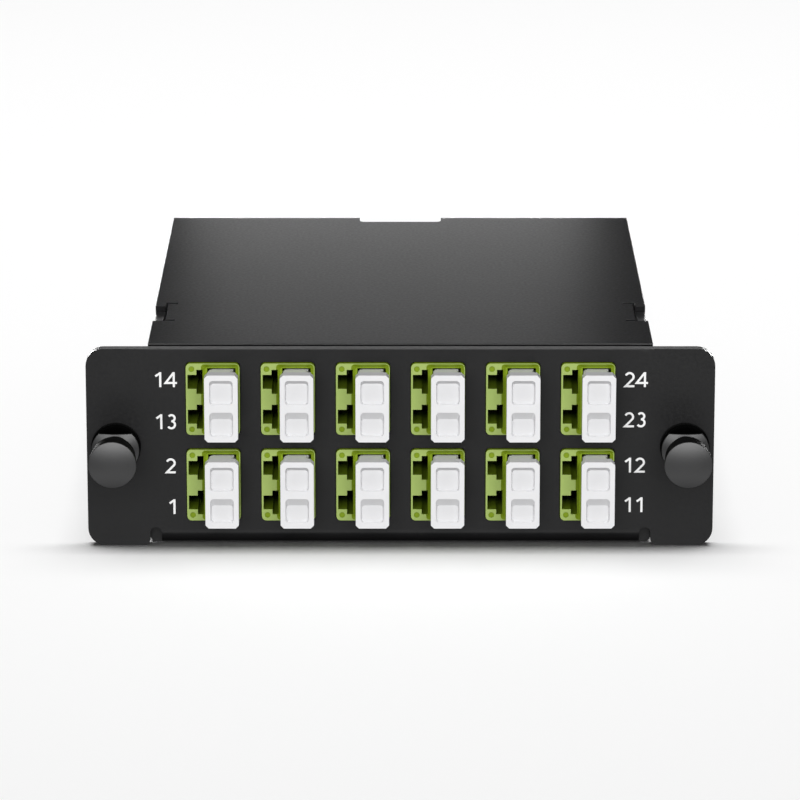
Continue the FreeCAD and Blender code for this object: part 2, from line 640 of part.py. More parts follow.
def makeAdapter():
    """One duplex adapter about its own axis, which the clones then take to their openings."""
    body = newBody("adapter_model", place=False)
    halfWide = s.adapterWidth / 2
    halfTall = s.adapterHeight / 2
    pad(body, "Housing", "XZ", adapterFront, s.adapterLength, [
        rectangle(-halfWide, -halfTall, halfWide, halfTall, s.adapterCorner)])
    pad(body, "StopCollar", "XZ", s.traySheet, s.collarThickness, [
        rectangle(-halfWide - s.collarSide, -halfTall - s.collarTop, halfWide + s.collarSide,
                  halfTall + s.collarTop)])
    portDepth = (s.adapterLength - s.webThickness) / 2
    low = -s.portPitch / 2
    high = s.portPitch / 2
    rim = pocket(body, "RimBevel", "XZ", adapterFront, s.rimDepth, [
        rectangle(-s.rimStart, -halfTall + s.rimWall, halfWide - s.rimWall,
                  halfTall - s.rimWall)])
    bind(rim, "TaperAngle", -s.rimSlope)
    pocket(body, "FrontPorts", "XZ", adapterFront - s.cutMargin, portDepth + s.cutMargin, [
        portOutline(low), portOutline(high)])
    pocket(body, "RearPorts", "XZ", adapterRear + s.cutMargin, portDepth + s.cutMargin, [
        portOutline(low), portOutline(high)], toward=-1)
    pad(body, "SleeveHolders", "XZ", portMiddle - s.holderLength / 2, s.holderLength, circles=[
        ((s.portShift, low), s.holderRadius), ((s.portShift, high), s.holderRadius)])
    pocket(body, "SleeveBores", "XZ", portMiddle - s.holderLength / 2 - s.cutMargin,
           s.holderLength + s.cutMargin * 2, circles=[
               ((s.portShift, low), s.sleeveBore), ((s.portShift, high), s.sleeveBore)])
    markLeft = -halfWide + s.markInset
    pocket(body, "MouldMarks", "XZ", adapterFront - s.cutMargin, s.markDepth + s.cutMargin, circles=[
        ((markLeft, halfTall - s.markInset), s.markRadius),
        ((markLeft, -halfTall + s.markInset), s.markRadius)])
    return body


def makeClip():
    """The spring clip that saddles one adapter behind its collar."""
    body = newBody("clip_model", place=False)
    halfWide = s.adapterWidth / 2
    halfTall = s.adapterHeight / 2
    legEnd = halfTall - s.clipDrop
    pad(body, "Saddle", "XZ", s.traySheet + s.collarThickness, s.clipLength, [[
        (-halfWide, legEnd),
        (-halfWide, halfTall),
        (halfWide, halfTall),
        (halfWide, legEnd),
        (halfWide + s.clipSheet, legEnd),
        (halfWide + s.clipSheet, halfTall + s.clipSheet),
        (-halfWide - s.clipSheet, halfTall + s.clipSheet),
        (-halfWide - s.clipSheet, legEnd),
    ]])
    return body


def makeCap():
    """One duplex dust cap about the middle of its port pair."""
    body = newBody("cap_model", place=False)
    headBack = -s.capReach + s.capHead
    neckFront = headBack + s.capFlare
    neckEnd = adapterFront - s.capStandoff
    plugHalf = s.portHalf - s.capFit
    neckTall = s.portPitch / 2 + plugHalf
    pad(body, "Head", "XZ", -s.capReach, s.capHead, [
        cutCorners(s.capWidth / 2, s.capHeight / 2, s.capChamfer)])
    wide = newSketch(body, "FlareFrontSketch", "XZ", headBack)
    drawLoop(wide, cutCorners(s.capWidth / 2, s.capHeight / 2, s.capChamfer))
    narrow = newSketch(body, "FlareBackSketch", "XZ", neckFront)
    drawLoop(narrow, cutCorners(plugHalf, neckTall, s.capNeckChamfer))
    flare = body.newObject("PartDesign::AdditiveLoft", "Flare")
    flare.Profile = wide
    flare.Sections = [narrow]
    flare.Ruled = True
    pad(body, "Neck", "XZ", neckFront, neckEnd - neckFront, [
        cutCorners(plugHalf, neckTall, s.capNeckChamfer)])
    low = -s.portPitch / 2
    high = s.portPitch / 2
    pad(body, "Plugs", "XZ", neckEnd, adapterFront + s.capPlug - neckEnd, [
        rectangle(-plugHalf, low - plugHalf, plugHalf, low + plugHalf),
        rectangle(-plugHalf, high - plugHalf, plugHalf, high + plugHalf)])
    pocketHalf = s.capPocketWidth / 2
    pocketTall = s.capPocketHeight / 2
    pockets = []
    for sign in (-1, 1):
        middle = s.capPocketPitch / 2 * sign
        pockets.append(rectangle(-pocketHalf, middle - pocketTall, pocketHalf, middle + pocketTall,
                                 s.capPocketCorner))
    pocket(body, "FacePockets", "XZ", -s.capReach - s.cutMargin, s.capPocketDepth + s.cutMargin, pockets)
    return body


def makeGrommet():
    """The latch's grommet about its own axis: flange, barrel with a barb, four legs."""
    body = newBody("grommet_model", place=False)
    bore = s.shankRadius + s.shankGap
    barbFront = s.traySheet + s.cutMargin
    barbBack = barbFront + s.grommetBarb - s.grommetBarrel
    revolve(body, "Turned", [
        (-s.grommetHead, bore),
        (-s.grommetHead, s.grommetFlange, s.grommetRound),
        (Size(0.0), s.grommetFlange),
        (Size(0.0), s.grommetBarrel),
        (barbFront, s.grommetBarrel),
        (barbBack, s.grommetBarb),
        (barbBack + s.traySheet, s.grommetBarb),
        (s.grommetDepth, s.grommetTip),
        (s.grommetDepth, bore),
    ])
    halfSlot = s.grommetSlot / 2
    reach = s.grommetBarb + s.cutMargin
    pocket(body, "LegSlots", "XZ", s.grommetSlotStart, s.grommetDepth - s.grommetSlotStart + s.cutMargin, [[
        (-reach, -halfSlot), (-halfSlot, -halfSlot), (-halfSlot, -reach), (halfSlot, -reach),
        (halfSlot, -halfSlot), (reach, -halfSlot), (reach, halfSlot), (halfSlot, halfSlot),
        (halfSlot, reach), (-halfSlot, reach), (-halfSlot, halfSlot), (-reach, halfSlot),
    ]])
    return body


def makePlunger():
    """The latch's plunger about its own axis: rim, grip, neck, collar with two flats, shank, bulb."""
    body = newBody("plunger_model", place=False)
    face = -s.plungerReach
    gripEnd = face + s.gripLength
    collarBack = -s.grommetHead - s.collarGap
    bulbFront = s.grommetDepth + s.plungerStroke + s.bulbGap
    bulbSlope = s.bulbRadius - s.shankRadius
    revolve(body, "Turned", [
        (face, Size(0.0)),
        (face, s.rimRadius, s.rimRound),
        (face + s.rimThickness, s.rimRadius, s.rimRound),
        (face + s.rimThickness, s.gripWaist),
        (gripEnd, s.gripRadius),
        (gripEnd, s.neckRadius),
        (-s.collarFront, s.neckRadius),
        (-s.collarFront, s.rimRadius, s.rimRound),
        (collarBack, s.rimRadius),
        (collarBack, s.shankRadius),
        (bulbFront, s.shankRadius),
        (bulbFront + bulbSlope, s.bulbRadius),
        (bulbFront + s.bulbLength - bulbSlope, s.bulbRadius),
        (bulbFront + s.bulbLength, s.shankRadius),
        (bulbFront + s.bulbLength, Size(0.0)),
    ])
    flatFront = -s.collarFront - s.collarGap / 2
    reach = s.rimRadius + s.cutMargin
    pocket(body, "CollarFlats", "XZ", flatFront, collarBack - flatFront + s.collarGap / 2, [
        rectangle(-reach, s.collarFlat, reach, reach),
        rectangle(-reach, -reach, reach, -s.collarFlat)])
    return body


def makeRearAdapter():
    body = newBody("rear_adapter")
    halfWide = s.rearAdapterWidth / 2
    halfTall = s.rearAdapterHeight / 2
    middle = s.rearPortHeight
    pad(body, "Housing", "XZ", rearPortInner, s.rearAdapterHalf * 2, [
        rectangle(-halfWide, middle - halfTall, halfWide, middle + halfTall, s.rearAdapterCorner)])
    pad(body, "Flange", "XZ", wallRear, s.rearFlangeThickness, [
        rectangle(-halfWide - s.rearFlangeSide, middle - halfTall - s.rearFlangeTop,
                  halfWide + s.rearFlangeSide, middle + halfTall + s.rearFlangeTop, s.rearAdapterCorner)])
    portHalf = s.rearPortWidth / 2
    portTall = s.rearPortTall / 2
    keyHalf = s.rearKeyWidth / 2
    keyTop = middle + portTall + s.rearKeyDepth
    pocket(body, "Port", "XZ", rearPortInner - s.cutMargin, s.rearAdapterHalf * 2 + s.cutMargin * 2, [[
        (-portHalf, middle - portTall),
        (portHalf, middle - portTall),
        (portHalf, middle + portTall),
        (keyHalf, middle + portTall),
        (keyHalf, keyTop),
        (-keyHalf, keyTop),
        (-keyHalf, middle + portTall),
        (-portHalf, middle + portTall),
    ]])
    return body


def makeRearClip():
    body = newBody("rear_adapter_clip")
    halfWide = s.rearAdapterWidth / 2
    top = s.rearPortHeight + s.rearAdapterHeight / 2
    foot = s.rearPortHeight - s.rearAdapterHeight / 2
    pad(body, "Saddle", "XZ", wallRear - s.traySheet, s.clipLength, [[
        (-halfWide, foot),
        (-halfWide, top),
        (halfWide, top),
        (halfWide, foot),
        (halfWide + s.clipSheet, foot),
        (halfWide + s.clipSheet, top + s.clipSheet),
        (-halfWide - s.clipSheet, top + s.clipSheet),
        (-halfWide - s.clipSheet, foot),
    ]], toward=-1)
    return body


def makeRearCap():
    body = newBody("rear_dust_cap")
    middle = s.rearPortHeight
    headHalf = s.rearAdapterWidth / 2 - s.rearCapRim
    headTall = s.rearAdapterHeight / 2 - s.rearCapRim
    headFront = rearPortEnd + s.plugFit * 2
    pad(body, "Head", "XZ", headFront, s.rearCapHead, [
        rectangle(-headHalf, middle - headTall, headHalf, middle + headTall, s.rearAdapterCorner)])
    plugHalf = s.rearPortWidth / 2 - s.plugFit
    plugTall = s.rearPortTall / 2 - s.plugFit
    pad(body, "Plug", "XZ", rearPortEnd - s.rearCapPlug, headFront - rearPortEnd + s.rearCapPlug, [
        rectangle(-plugHalf, middle - plugTall, plugHalf, middle + plugTall)])
    gripStart = headFront + s.rearCapBand
    gripEnd = headFront + s.rearCapHead - s.rearCapBand
    for name, sign in (("UpperGrip", 1), ("LowerGrip", -1)):
        pocket(body, name, "YZ", -headHalf - s.cutMargin, headHalf * 2 + s.cutMargin * 2, [[
            (gripStart, middle + (headTall + s.cutMargin) * sign),
            (gripStart, middle + (headTall - s.rearCapGrip) * sign),
            (gripEnd, middle + (headTall - s.rearCapGrip) * sign),
            (gripEnd, middle + (headTall + s.cutMargin) * sign),
        ]])
    return body


def makeScrew():
    """One lid screw about its own axis, with the head's seat at y = 0 and the shank towards -y."""
    body = newBody("screw_model", place=False)
    revolve(body, "Turned", [
        (-s.screwReach, Size(0.0)),
        (-s.screwReach, s.screwShank),
        (Size(0.0), s.screwShank),
        (Size(0.0), s.screwHead),
        (s.screwHeadHeight, s.screwHead, s.screwHeadHeight / 2),
        (s.screwHeadHeight, Size(0.0)),
    ])
    arm = s.screwSlotLength / 2
    half = s.screwSlotWidth / 2
    pocket(body, "CrossRecess", "XZ", s.screwHeadHeight + s.cutMargin, s.screwSlotDepth + s.cutMargin, [[
        (-arm, -half), (-half, -half), (-half, -arm), (half, -arm),
        (half, -half), (arm, -half), (arm, half), (half, half),
        (half, arm), (-half, arm), (-half, half), (-arm, half),
    ]], toward=-1)
    return body


def makeInnerConnector():
    """A duplex connector plugged into an adapter's rear ports, about the port pair's middle."""
    body = newBody("connector_model", place=False)
    half = s.plugSide / 2
    low = -s.portPitch / 2
    high = s.portPitch / 2
    plugFront = portMiddle + s.holderLength / 2 + s.plugFit * 2
    plugBack = adapterRear + s.plugTail
    pad(body, "Plugs", "XZ", plugFront, plugBack - plugFront, [
        rectangle(-half, low - half, half, low + half),
        rectangle(-half, high - half, half, high + half)])
    pad(body, "Yoke", "XZ", adapterRear + s.yokeLead, s.plugTail - s.yokeLead, [
        rectangle(-s.yokeWidth / 2, -s.yokeHeight / 2, s.yokeWidth / 2, s.yokeHeight / 2)])
    armOuter = -half - s.portHalf + s.armThickness
    armStart = (plugFront + adapterRear) / 2
    pad(body, "LatchArms", "XZ", armStart, adapterRear + s.yokeLead - armStart, [
        rectangle(armOuter, low - s.armHalf, -half, low + s.armHalf),
        rectangle(armOuter, high - s.armHalf, -half, high + s.armHalf)])
    pad(body, "Ferrules", "XZ", portMiddle, plugFront - portMiddle, circles=[
        ((Size(0.0), low), s.ferruleRadius), ((Size(0.0), high), s.ferruleRadius)])
    for name, middle in (("LowerBoot", low), ("UpperBoot", high)):
        wide = newSketch(body, name + "Start", "XZ", plugBack)
        drawCircle(wide, (Size(0.0), middle), s.bootWide)
        narrow = newSketch(body, name + "End", "XZ", plugBack + s.bootLength)
        drawCircle(narrow, (Size(0.0), middle), s.bootNarrow)
        boot = body.newObject("PartDesign::AdditiveLoft", name)
        boot.Profile = wide
        boot.Sections = [narrow]
        boot.Ruled = True
    return body


def arcPath(points, radii):
    """Straight runs through points, joined by tangent arcs of the given radii at the inner points."""
    edges = []
    start = points[0]
    for place, radius in enumerate(radii, start=1):
        corner = points[place]
        back = (points[place - 1] - corner).normalize()
        ahead = (points[place + 1] - corner).normalize()
        halfAngle = back.getAngle(ahead) / 2
        reach = radius / math.tan(halfAngle)
        middle = (back + ahead).normalize()
        centre = corner + middle * (radius / math.sin(halfAngle))
        arcStart = corner + back * reach
        arcEnd = corner + ahead * reach
        edges.append(Part.LineSegment(start, arcStart).toShape())
        edges.append(Part.Arc(arcStart, centre - middle * radius, arcEnd).toShape())
        start = arcEnd
    edges.append(Part.LineSegment(start, points[-1]).toShape())
    return Part.Wire(edges)


def sweepAlong(path, section):
    """A solid swept along path; its volume has to be the section's area times the path's length."""
    solid = path.makePipeShell([section], True, True)
    expected = Part.Face(section).Area * path.Length
    if abs(solid.Volume - expected) > 0.03 * expected:
        raise ValueError("a swept piece has the wrong volume")
    return solid


def makeFanOut(ports):
    """The potted fan-out block on the floor with a flat pair of fibre leads to each connector."""
    front = fanFront.number
    floorTop = s.traySheet.number
    block = Part.makeBox(s.fanWidth.number, s.fanLength.number, s.fanHeight.number,
                         FreeCAD.Vector(-s.fanWidth.number / 2, front, floorTop))
    connectorBack = (adapterRear + s.plugTail).number
    straight = s.leadStraight.number
    solid = block
    halfThick = s.leadThickness.number / 2
    halfTall = s.leadHeight.number / 2
    for column, row, portAcross, portHeight in ports:
        across = portAcross.number
        height = portHeight.number
        exitAcross = s.leadPitch.number * (column - middleColumn)
        exitHeight = floorTop + s.fanRow.number + row * s.leadPitch.number
        points = [
            FreeCAD.Vector(exitAcross, front, exitHeight),
            FreeCAD.Vector(exitAcross, front - straight, exitHeight),
            FreeCAD.Vector(across, connectorBack + s.bootLength.number + straight, height),
            FreeCAD.Vector(across, connectorBack, height),
        ]
        path = arcPath(points, [s.leadBend.number, s.leadBend.number])
        section = Part.makePolygon([
            FreeCAD.Vector(exitAcross + offset[0] * halfThick, front, exitHeight + offset[1] * halfTall)
            for offset in ((-1, -1), (1, -1), (1, 1), (-1, 1), (-1, -1))])
        solid = solid.fuse(sweepAlong(path, section))
    piece = doc.addObject("Part::Feature", "fan_out")
    piece.Label = "fan_out"
    piece.Shape = solid.removeSplitter()
    piece.Placement = FreeCAD.Placement(FreeCAD.Vector(0, frameShift.number, 0), FreeCAD.Rotation())
    return piece


def makeTrunkConnector():
    body = newBody("trunk_connector")
    middle = s.rearPortHeight
    front = rearPortInner + s.trunkInsert - s.trunkBody
    plugHalf = s.rearPortWidth / 2 - s.plugFit
    plugTall = s.rearPortTall / 2 - s.plugFit
    pad(body, "Ferrule", "XZ", front, s.trunkBody, [
        rectangle(-plugHalf, middle - plugTall, plugHalf, middle + plugTall)])
    sleeveHalf = s.trunkSleeveWidth / 2
    sleeveTall = s.trunkSleeveHeight / 2
    sleeveLength = s.trunkBody - s.trunkInsert - s.plugFit * 2
    pad(body, "CouplingSleeve", "XZ", front, sleeveLength, [
        rectangle(-sleeveHalf, middle - sleeveTall, sleeveHalf, middle + sleeveTall,
                  s.rearAdapterCorner)])
    return body


def makeTrunkBoot():
    body = newBody("trunk_boot")
    back = rearPortInner + s.trunkInsert - s.trunkBody
    wide = newSketch(body, "BootStart", "XZ", back)
    drawCircle(wide, (Size(0.0), s.rearPortHeight), s.trunkBootWide)
    narrow = newSketch(body, "BootEnd", "XZ", back - s.trunkBoot)
    drawCircle(narrow, (Size(0.0), s.rearPortHeight), s.cordRadius)
    boot = body.newObject("PartDesign::AdditiveLoft", "Taper")
    boot.Profile = wide
    boot.Sections = [narrow]
    boot.Ruled = True
    return body


def makeTrunkCord():
    """The cord from the trunk boot round to the rear end of the fan-out block."""
    start = (rearPortInner + s.trunkInsert - s.trunkBody - s.trunkBoot).number
    bend = s.cordBend.number
    turn = s.cordReturn.number
    straight = s.cordStraight.number
    high = s.rearPortHeight.number
    low = s.traySheet.number + s.fanHeight.number / 2
    side = -2 * turn - straight
    rearEnd = (fanFront + s.fanLength).number
    foot = start - bend - straight
    back = rearEnd + turn + straight
    points = [
        FreeCAD.Vector(0, start, high),
        FreeCAD.Vector(0, foot, high),
        FreeCAD.Vector(side, foot, high),
        FreeCAD.Vector(side, start + bend, low),
        FreeCAD.Vector(side, back, low),
        FreeCAD.Vector(0, back, low),
        FreeCAD.Vector(0, rearEnd, low),
    ]
    path = arcPath(points, [bend, bend, bend, turn, turn])
    section = Part.Wire([Part.makeCircle(s.cordRadius.number, points[0], FreeCAD.Vector(0, -1, 0))])
    piece = doc.addObject("Part::Feature", "trunk_cord")
    piece.Label = "trunk_cord"
    piece.Shape = sweepAlong(path, section)
    piece.Placement = FreeCAD.Placement(FreeCAD.Vector(0, frameShift.number, 0), FreeCAD.Rotation())
    return piece


def gather(label, pieces):
    """Like pieces kept as separate solids in one node."""
    group = doc.addObject("Part::Compound", label)
    group.Label = label
    group.Links = pieces
    return group


def checked(piece):
    if piece.Shape.isNull() or not piece.Shape.isValid():
        raise ValueError("%s has no valid shape" % piece.Label)
    return piece


finished = [makeTray(), makeLid()]
adapterModel = makeAdapter()
clipModel = makeClip()
capModel = makeCap()
connectorModel = makeInnerConnector()
grommetModel = makeGrommet()
plungerModel = makePlunger()
screwModel = makeScrew()
finished += [makeRearAdapter(), makeRearClip(), makeRearCap(), makeTrunkConnector(), makeTrunkBoot()]
doc.recompute()

ports = []
clips = []
for row, height in enumerate(rowHeights):
    for column in range(columnCount):
        number = row * columnCount + column + 1
        across = s.columnPitch * (column - middleColumn)
        portAcross = across + s.portShift
        finished.append(cloneOf(adapterModel, "adapter_%02d" % number, across, frameShift, height))
        finished.append(cloneOf(capModel, "dust_cap_%02d" % number, portAcross, frameShift, height))
        finished.append(cloneOf(connectorModel, "inner_connector_%02d" % number, portAcross, frameShift,
                                height))
        clips.append(cloneOf(clipModel, "clip_%02d" % number, across, frameShift, height))
        ports.append((column, row, portAcross, height))
finished.append(gather("adapter_clips", clips))

screws = []
for side, sign in (("left", -1), ("right", 1)):
    across = latchSpan / 2 * sign
    finished.append(cloneOf(grommetModel, "latch_grommet_" + side, across, frameShift, latchHeight))
    finished.append(cloneOf(plungerModel, "latch_plunger_" + side, across, frameShift, latchHeight))
    screws.append(cloneOf(screwModel, "screw_" + side, screwSpan / 2 * sign, s.bodyDepth + frameShift,
                          lidTop - s.screwDrop))
finished.append(gather("lid_screws", screws))
finished.append(makeFanOut(ports))
finished.append(makeTrunkCord())
doc.recompute()

for thing in doc.Objects:
    if "Invalid" in thing.State or "Error" in thing.State:
        raise ValueError("%s failed" % thing.Label)

for piece in finished:
    checked(piece)

for piece in finished:
    piece.Shape.exportStep("parts/%s.step" % piece.Label)
    print("%-20s solids %d  volume %.2f" % (piece.Label, len(piece.Shape.Solids), piece.Shape.Volume))
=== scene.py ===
import math

import bmesh
import bpy
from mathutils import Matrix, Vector


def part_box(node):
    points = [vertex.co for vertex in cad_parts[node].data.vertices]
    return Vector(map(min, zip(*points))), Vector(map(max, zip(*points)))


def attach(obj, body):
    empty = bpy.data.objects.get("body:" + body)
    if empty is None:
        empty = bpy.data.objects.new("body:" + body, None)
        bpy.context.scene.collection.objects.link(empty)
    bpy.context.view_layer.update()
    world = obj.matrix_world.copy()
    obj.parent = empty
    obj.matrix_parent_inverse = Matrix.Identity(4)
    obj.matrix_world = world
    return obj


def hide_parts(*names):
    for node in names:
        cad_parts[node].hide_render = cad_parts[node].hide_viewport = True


mm = 0.001
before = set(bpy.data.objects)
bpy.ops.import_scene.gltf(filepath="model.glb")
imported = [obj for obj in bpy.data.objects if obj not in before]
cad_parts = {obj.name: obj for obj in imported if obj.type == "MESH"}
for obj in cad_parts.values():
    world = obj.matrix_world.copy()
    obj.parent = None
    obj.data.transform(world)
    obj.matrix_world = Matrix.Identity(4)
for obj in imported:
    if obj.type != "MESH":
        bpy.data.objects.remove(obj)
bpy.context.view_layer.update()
print("frame loaded:", len(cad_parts), "nodes")

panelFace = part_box("tray")[0].y  # front face of the panel; every depth below is counted from it
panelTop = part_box("tray")[1].z
portPairs = 12


def cornersOf(node):
    # a CAD node's lowest and highest corner in millimetres: across, depth, height
    return [tuple(round(value / mm, 3) for value in (corner.x, corner.y - panelFace, corner.z))
            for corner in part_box(node)]


def halfOf(node, axis):
    low, high = cornersOf(node)
    return round((high[axis] - low[axis]) / 2, 3)


def middleOf(node, axis):
    low, high = cornersOf(node)
    return round((high[axis] + low[axis]) / 2, 3)


# Camera

cameraLook = {
    "tiltDown": 15.0,        # degrees below the horizon
    "distance": 817.0,       # along the view axis to the panel's top edge
    "aim": 8.81,             # how far above the view axis that edge lies
    "sideways": -0.07,
    "lens": 212.7,
    "sensor": 36.0,
    "clip": (0.05, 20),      # metres
}


def makeCamera(look):
    tilt = math.radians(look["tiltDown"])
    forward = Vector((0, math.cos(tilt), -math.sin(tilt)))
    upward = Vector((0, math.sin(tilt), math.cos(tilt)))
    edge = Vector((look["sideways"] * mm, panelFace, panelTop))
    data = bpy.data.cameras.new("productCamera")
    data.lens = look["lens"]
    data.sensor_width = look["sensor"]
    data.clip_start, data.clip_end = look["clip"]
    camera = bpy.data.objects.new("productCamera", data)
    camera.location = edge - forward * look["distance"] * mm - upward * look["aim"] * mm
    camera.rotation_euler = (math.radians(90) - tilt, 0, 0)
    bpy.context.scene.collection.objects.link(camera)
    bpy.context.scene.camera = camera


# Studio

studioLook = {
    "floorSize": 6.0,
    "floorColour": (0.93, 0.93, 0.93, 1),
    "floorRough": 0.9,
    "floorSpecular": 0.1,
    # light from all round by the direction's height, -1 straight down to 1 straight up
    "worldHeights": [(-1.0, 0.0), (-0.72, 0.0), (-0.58, 1.1), (-0.42, 1.1), (-0.28, 0.16), (0.0, 0.12),
                     (1.0, 0.22)],
    "worldRear": 0.06,       # share of it that comes from behind the object
    "worldTurn": 0.6,        # how far to each side of the middle that share takes to change
    "worldRearLow": 0.2,     # the same share below the horizon
    "worldLow": -0.25,       # height at which it holds in full
    "worldSeen": 0.98,       # what shows behind it
    "lights": [
        # name, place, point it looks at, width, height, watts, what it lights
        ("floorBoxRear", (0.0, 0.47, 1.6), (0, 0.47, 0), 1.4, 0.7, 12.0, "floor"),
        ("floorBoxNear", (0.0, 0.10, 1.6), (0, 0.10, 0), 1.4, 0.26, 17.5, "floor"),
        ("topBox", (0.0, -0.25, 1.1), (0, 0, 0.02), 1.4, 0.8, 4.0, "black"),
        ("keyBox", (0.0, -1.05, 0.50), (0, 0, 0.02), 1.2, 0.24, 14.3, "ports"),
        ("panelKey", (0.0, -1.0, 0.54), (0, 0, 0.02), 1.2, 0.24, 5.0, "tray"),
        ("lowStrip", (0.0, -1.1, 0.24), (0, 0, 0.02), 1.2, 0.30, 5.2, "tray"),
        ("latchStrip", (0.0, -1.1, 0.26), (0, 0, 0.02), 1.3, 0.30, 7.5, "latches"),
        ("rearBox", (-0.003, 0.30, 0.066), (0, 0.0, 0.035), 0.10, 0.03, 0.029, "part"),
        ("edgeBox", (0.0, -0.45, 0.62), (0, 0, 0.03), 0.9, 0.25, 7.5, "lid"),
        ("seamBox", (0.0, 0.55, 0.29), (0, 0, 0.035), 0.9, 0.12, 0.65, "tray"),
        ("rearStrip", (0.0, 1.0, 0.016), (0, 0, 0.016), 1.2, 0.03, 6.0, "part"),
        ("sideLeft", (-1.0, 0.25, 0.20), (0, 0.02, 0.02), 0.5, 0.3, 2.2, "tray"),
        ("sideRight", (1.0, 0.25, 0.20), (0, 0.02, 0.02), 0.5, 0.3, 2.2, "tray"),
    ],
}


def makeStudio(look):
    side = look["floorSize"] / 2
    mesh = bpy.data.meshes.new("studioFloor")
    mesh.from_pydata([(-side, -side, 0), (side, -side, 0), (side, side, 0), (-side, side, 0)], [],
                     [(0, 1, 2, 3)])
    floor = bpy.data.objects.new("studioFloor", mesh)
    bpy.context.scene.collection.objects.link(floor)
    paper = bpy.data.materials.new("studioPaper")
    paper.use_nodes = True
    shader = paper.node_tree.nodes["Principled BSDF"]
    shader.inputs["Base Color"].default_value = look["floorColour"]
    shader.inputs["Roughness"].default_value = look["floorRough"]
    shader.inputs["Specular IOR Level"].default_value = look["floorSpecular"]
    floor.data.materials.append(paper)
    floor.visible_glossy = False  # dark surfaces mirror the studio below, as they do in the photograph
    floor.visible_diffuse = False
    world = bpy.data.worlds.new("studioWorld")
    world.use_nodes = True
    nodes = world.node_tree.nodes
    links = world.node_tree.links
    nodes.clear()
    lit = nodes.new("ShaderNodeBackground")
    direction = nodes.new("ShaderNodeSeparateXYZ")
    links.new(nodes.new("ShaderNodeTexCoord").outputs["Generated"], direction.inputs[0])
    raised = nodes.new("ShaderNodeMapRange")
    raised.inputs["From Min"].default_value = -1
    links.new(direction.outputs["Z"], raised.inputs["Value"])
    heights = nodes.new("ShaderNodeValToRGB")
    stops = heights.color_ramp.elements
    while len(stops) < len(look["worldHeights"]):
        stops.new(0.5)
    for stop, (height, strength) in zip(stops, look["worldHeights"]):
        stop.position = (height + 1) / 2
        stop.color = (strength, strength, strength, 1)
    links.new(raised.outputs[0], heights.inputs[0])
    turned = nodes.new("ShaderNodeMapRange")
    turned.inputs["From Min"].default_value = -look["worldTurn"]
    turned.inputs["From Max"].default_value = look["worldTurn"]
    turned.inputs["To Min"].default_value = 1
    turned.inputs["To Max"].default_value = look["worldRear"]
    links.new(direction.outputs["Y"], turned.inputs["Value"])
    below = nodes.new("ShaderNodeMapRange")  # below the horizon more of it comes from behind
    below.inputs["From Min"].default_value = look["worldLow"]
    below.inputs["From Max"].default_value = 0
    below.inputs["To Min"].default_value = look["worldRearLow"]
    below.inputs["To Max"].default_value = 0
    links.new(direction.outputs["Z"], below.inputs["Value"])
    greater = nodes.new("ShaderNodeMath")
    greater.operation = "MAXIMUM"
    links.new(turned.outputs[0], greater.inputs[0])
    links.new(below.outputs[0], greater.inputs[1])
    links.new(greater.outputs[0], lit.inputs["Strength"])
    links.new(heights.outputs[0], lit.inputs["Color"])
    seen = nodes.new("ShaderNodeBackground")
    seen.inputs["Strength"].default_value = look["worldSeen"]
    path = nodes.new("ShaderNodeLightPath")
    mix = nodes.new("ShaderNodeMixShader")
    output = nodes.new("ShaderNodeOutputWorld")
    links.new(path.outputs["Is Camera Ray"], mix.inputs[0])
    links.new(lit.outputs[0], mix.inputs[1])
    links.new(seen.outputs[0], mix.inputs[2])
    links.new(mix.outputs[0], output.inputs[0])
    bpy.context.scene.world = world
    # each kind of light reaches only the pieces in its own collection, and "part" all but the floor
    reached = {light[-1]: bpy.data.collections.new("lit_" + light[-1]) for light in look["lights"]}
    for kind, state in (("floor", "INCLUDE"), ("part", "EXCLUDE")):
        reached[kind].objects.link(floor)
        reached[kind].collection_objects[0].light_linking.link_state = state
    for name, place, target, width, height, watts, kind in look["lights"]:
        data = bpy.data.lights.new(name, "AREA")
        data.shape = "RECTANGLE"
        data.size = width
        data.size_y = height
        data.energy = watts
        lamp = bpy.data.objects.new(name, data)
        lamp.location = place
        lamp.rotation_euler = (Vector(target) - Vector(place)).to_track_quat("-Z", "Y").to_euler()
        lamp.visible_camera = False
        lamp.light_linking.receiver_collection = reached[kind]
        if kind == "floor":
            lamp.light_linking.blocker_collection = reached["black"]  # only the housing shades the floor
        bpy.context.scene.collection.objects.link(lamp)
    bpy.context.scene.view_settings.view_transform = "Standard"
    return reached


# Materials

def newMaterial(name, colour, roughness, **sockets):
    material = bpy.data.materials.new(name)
    material.use_nodes = True
    shader = material.node_tree.nodes["Principled BSDF"]
    shader.inputs["Base Color"].default_value = (*colour, 1)
    shader.inputs["Roughness"].default_value = roughness
    for socket, value in sockets.items():
        shader.inputs[socket.replace("_", " ")].default_value = value
    return material, shader


def objectPlace(material):
    return material.node_tree.nodes.new("ShaderNodeTexCoord").outputs["Object"]


def makeNoise(material, place, grain, detail):
    # grain is the size of the noise's features in metres
    noise = material.node_tree.nodes.new("ShaderNodeTexNoise")
    noise.inputs["Scale"].default_value = 1 / grain
    noise.inputs["Detail"].default_value = detail
    material.node_tree.links.new(place, noise.inputs["Vector"])
    return noise.outputs["Fac"]


def ramp(material, value, low, high, start=0.3, end=0.7):
    # value from start to end spread onto low to high, which are numbers or colours
    nodes = material.node_tree.nodes
    links = material.node_tree.links
    node = nodes.new("ShaderNodeValToRGB")
    for element, position, shade in zip(node.color_ramp.elements, (start, end), (low, high)):
        element.position = position
        element.color = (*shade, 1) if isinstance(shade, tuple) else (shade, shade, shade, 1)
    links.new(value, node.inputs[0])
    return node.outputs[0]


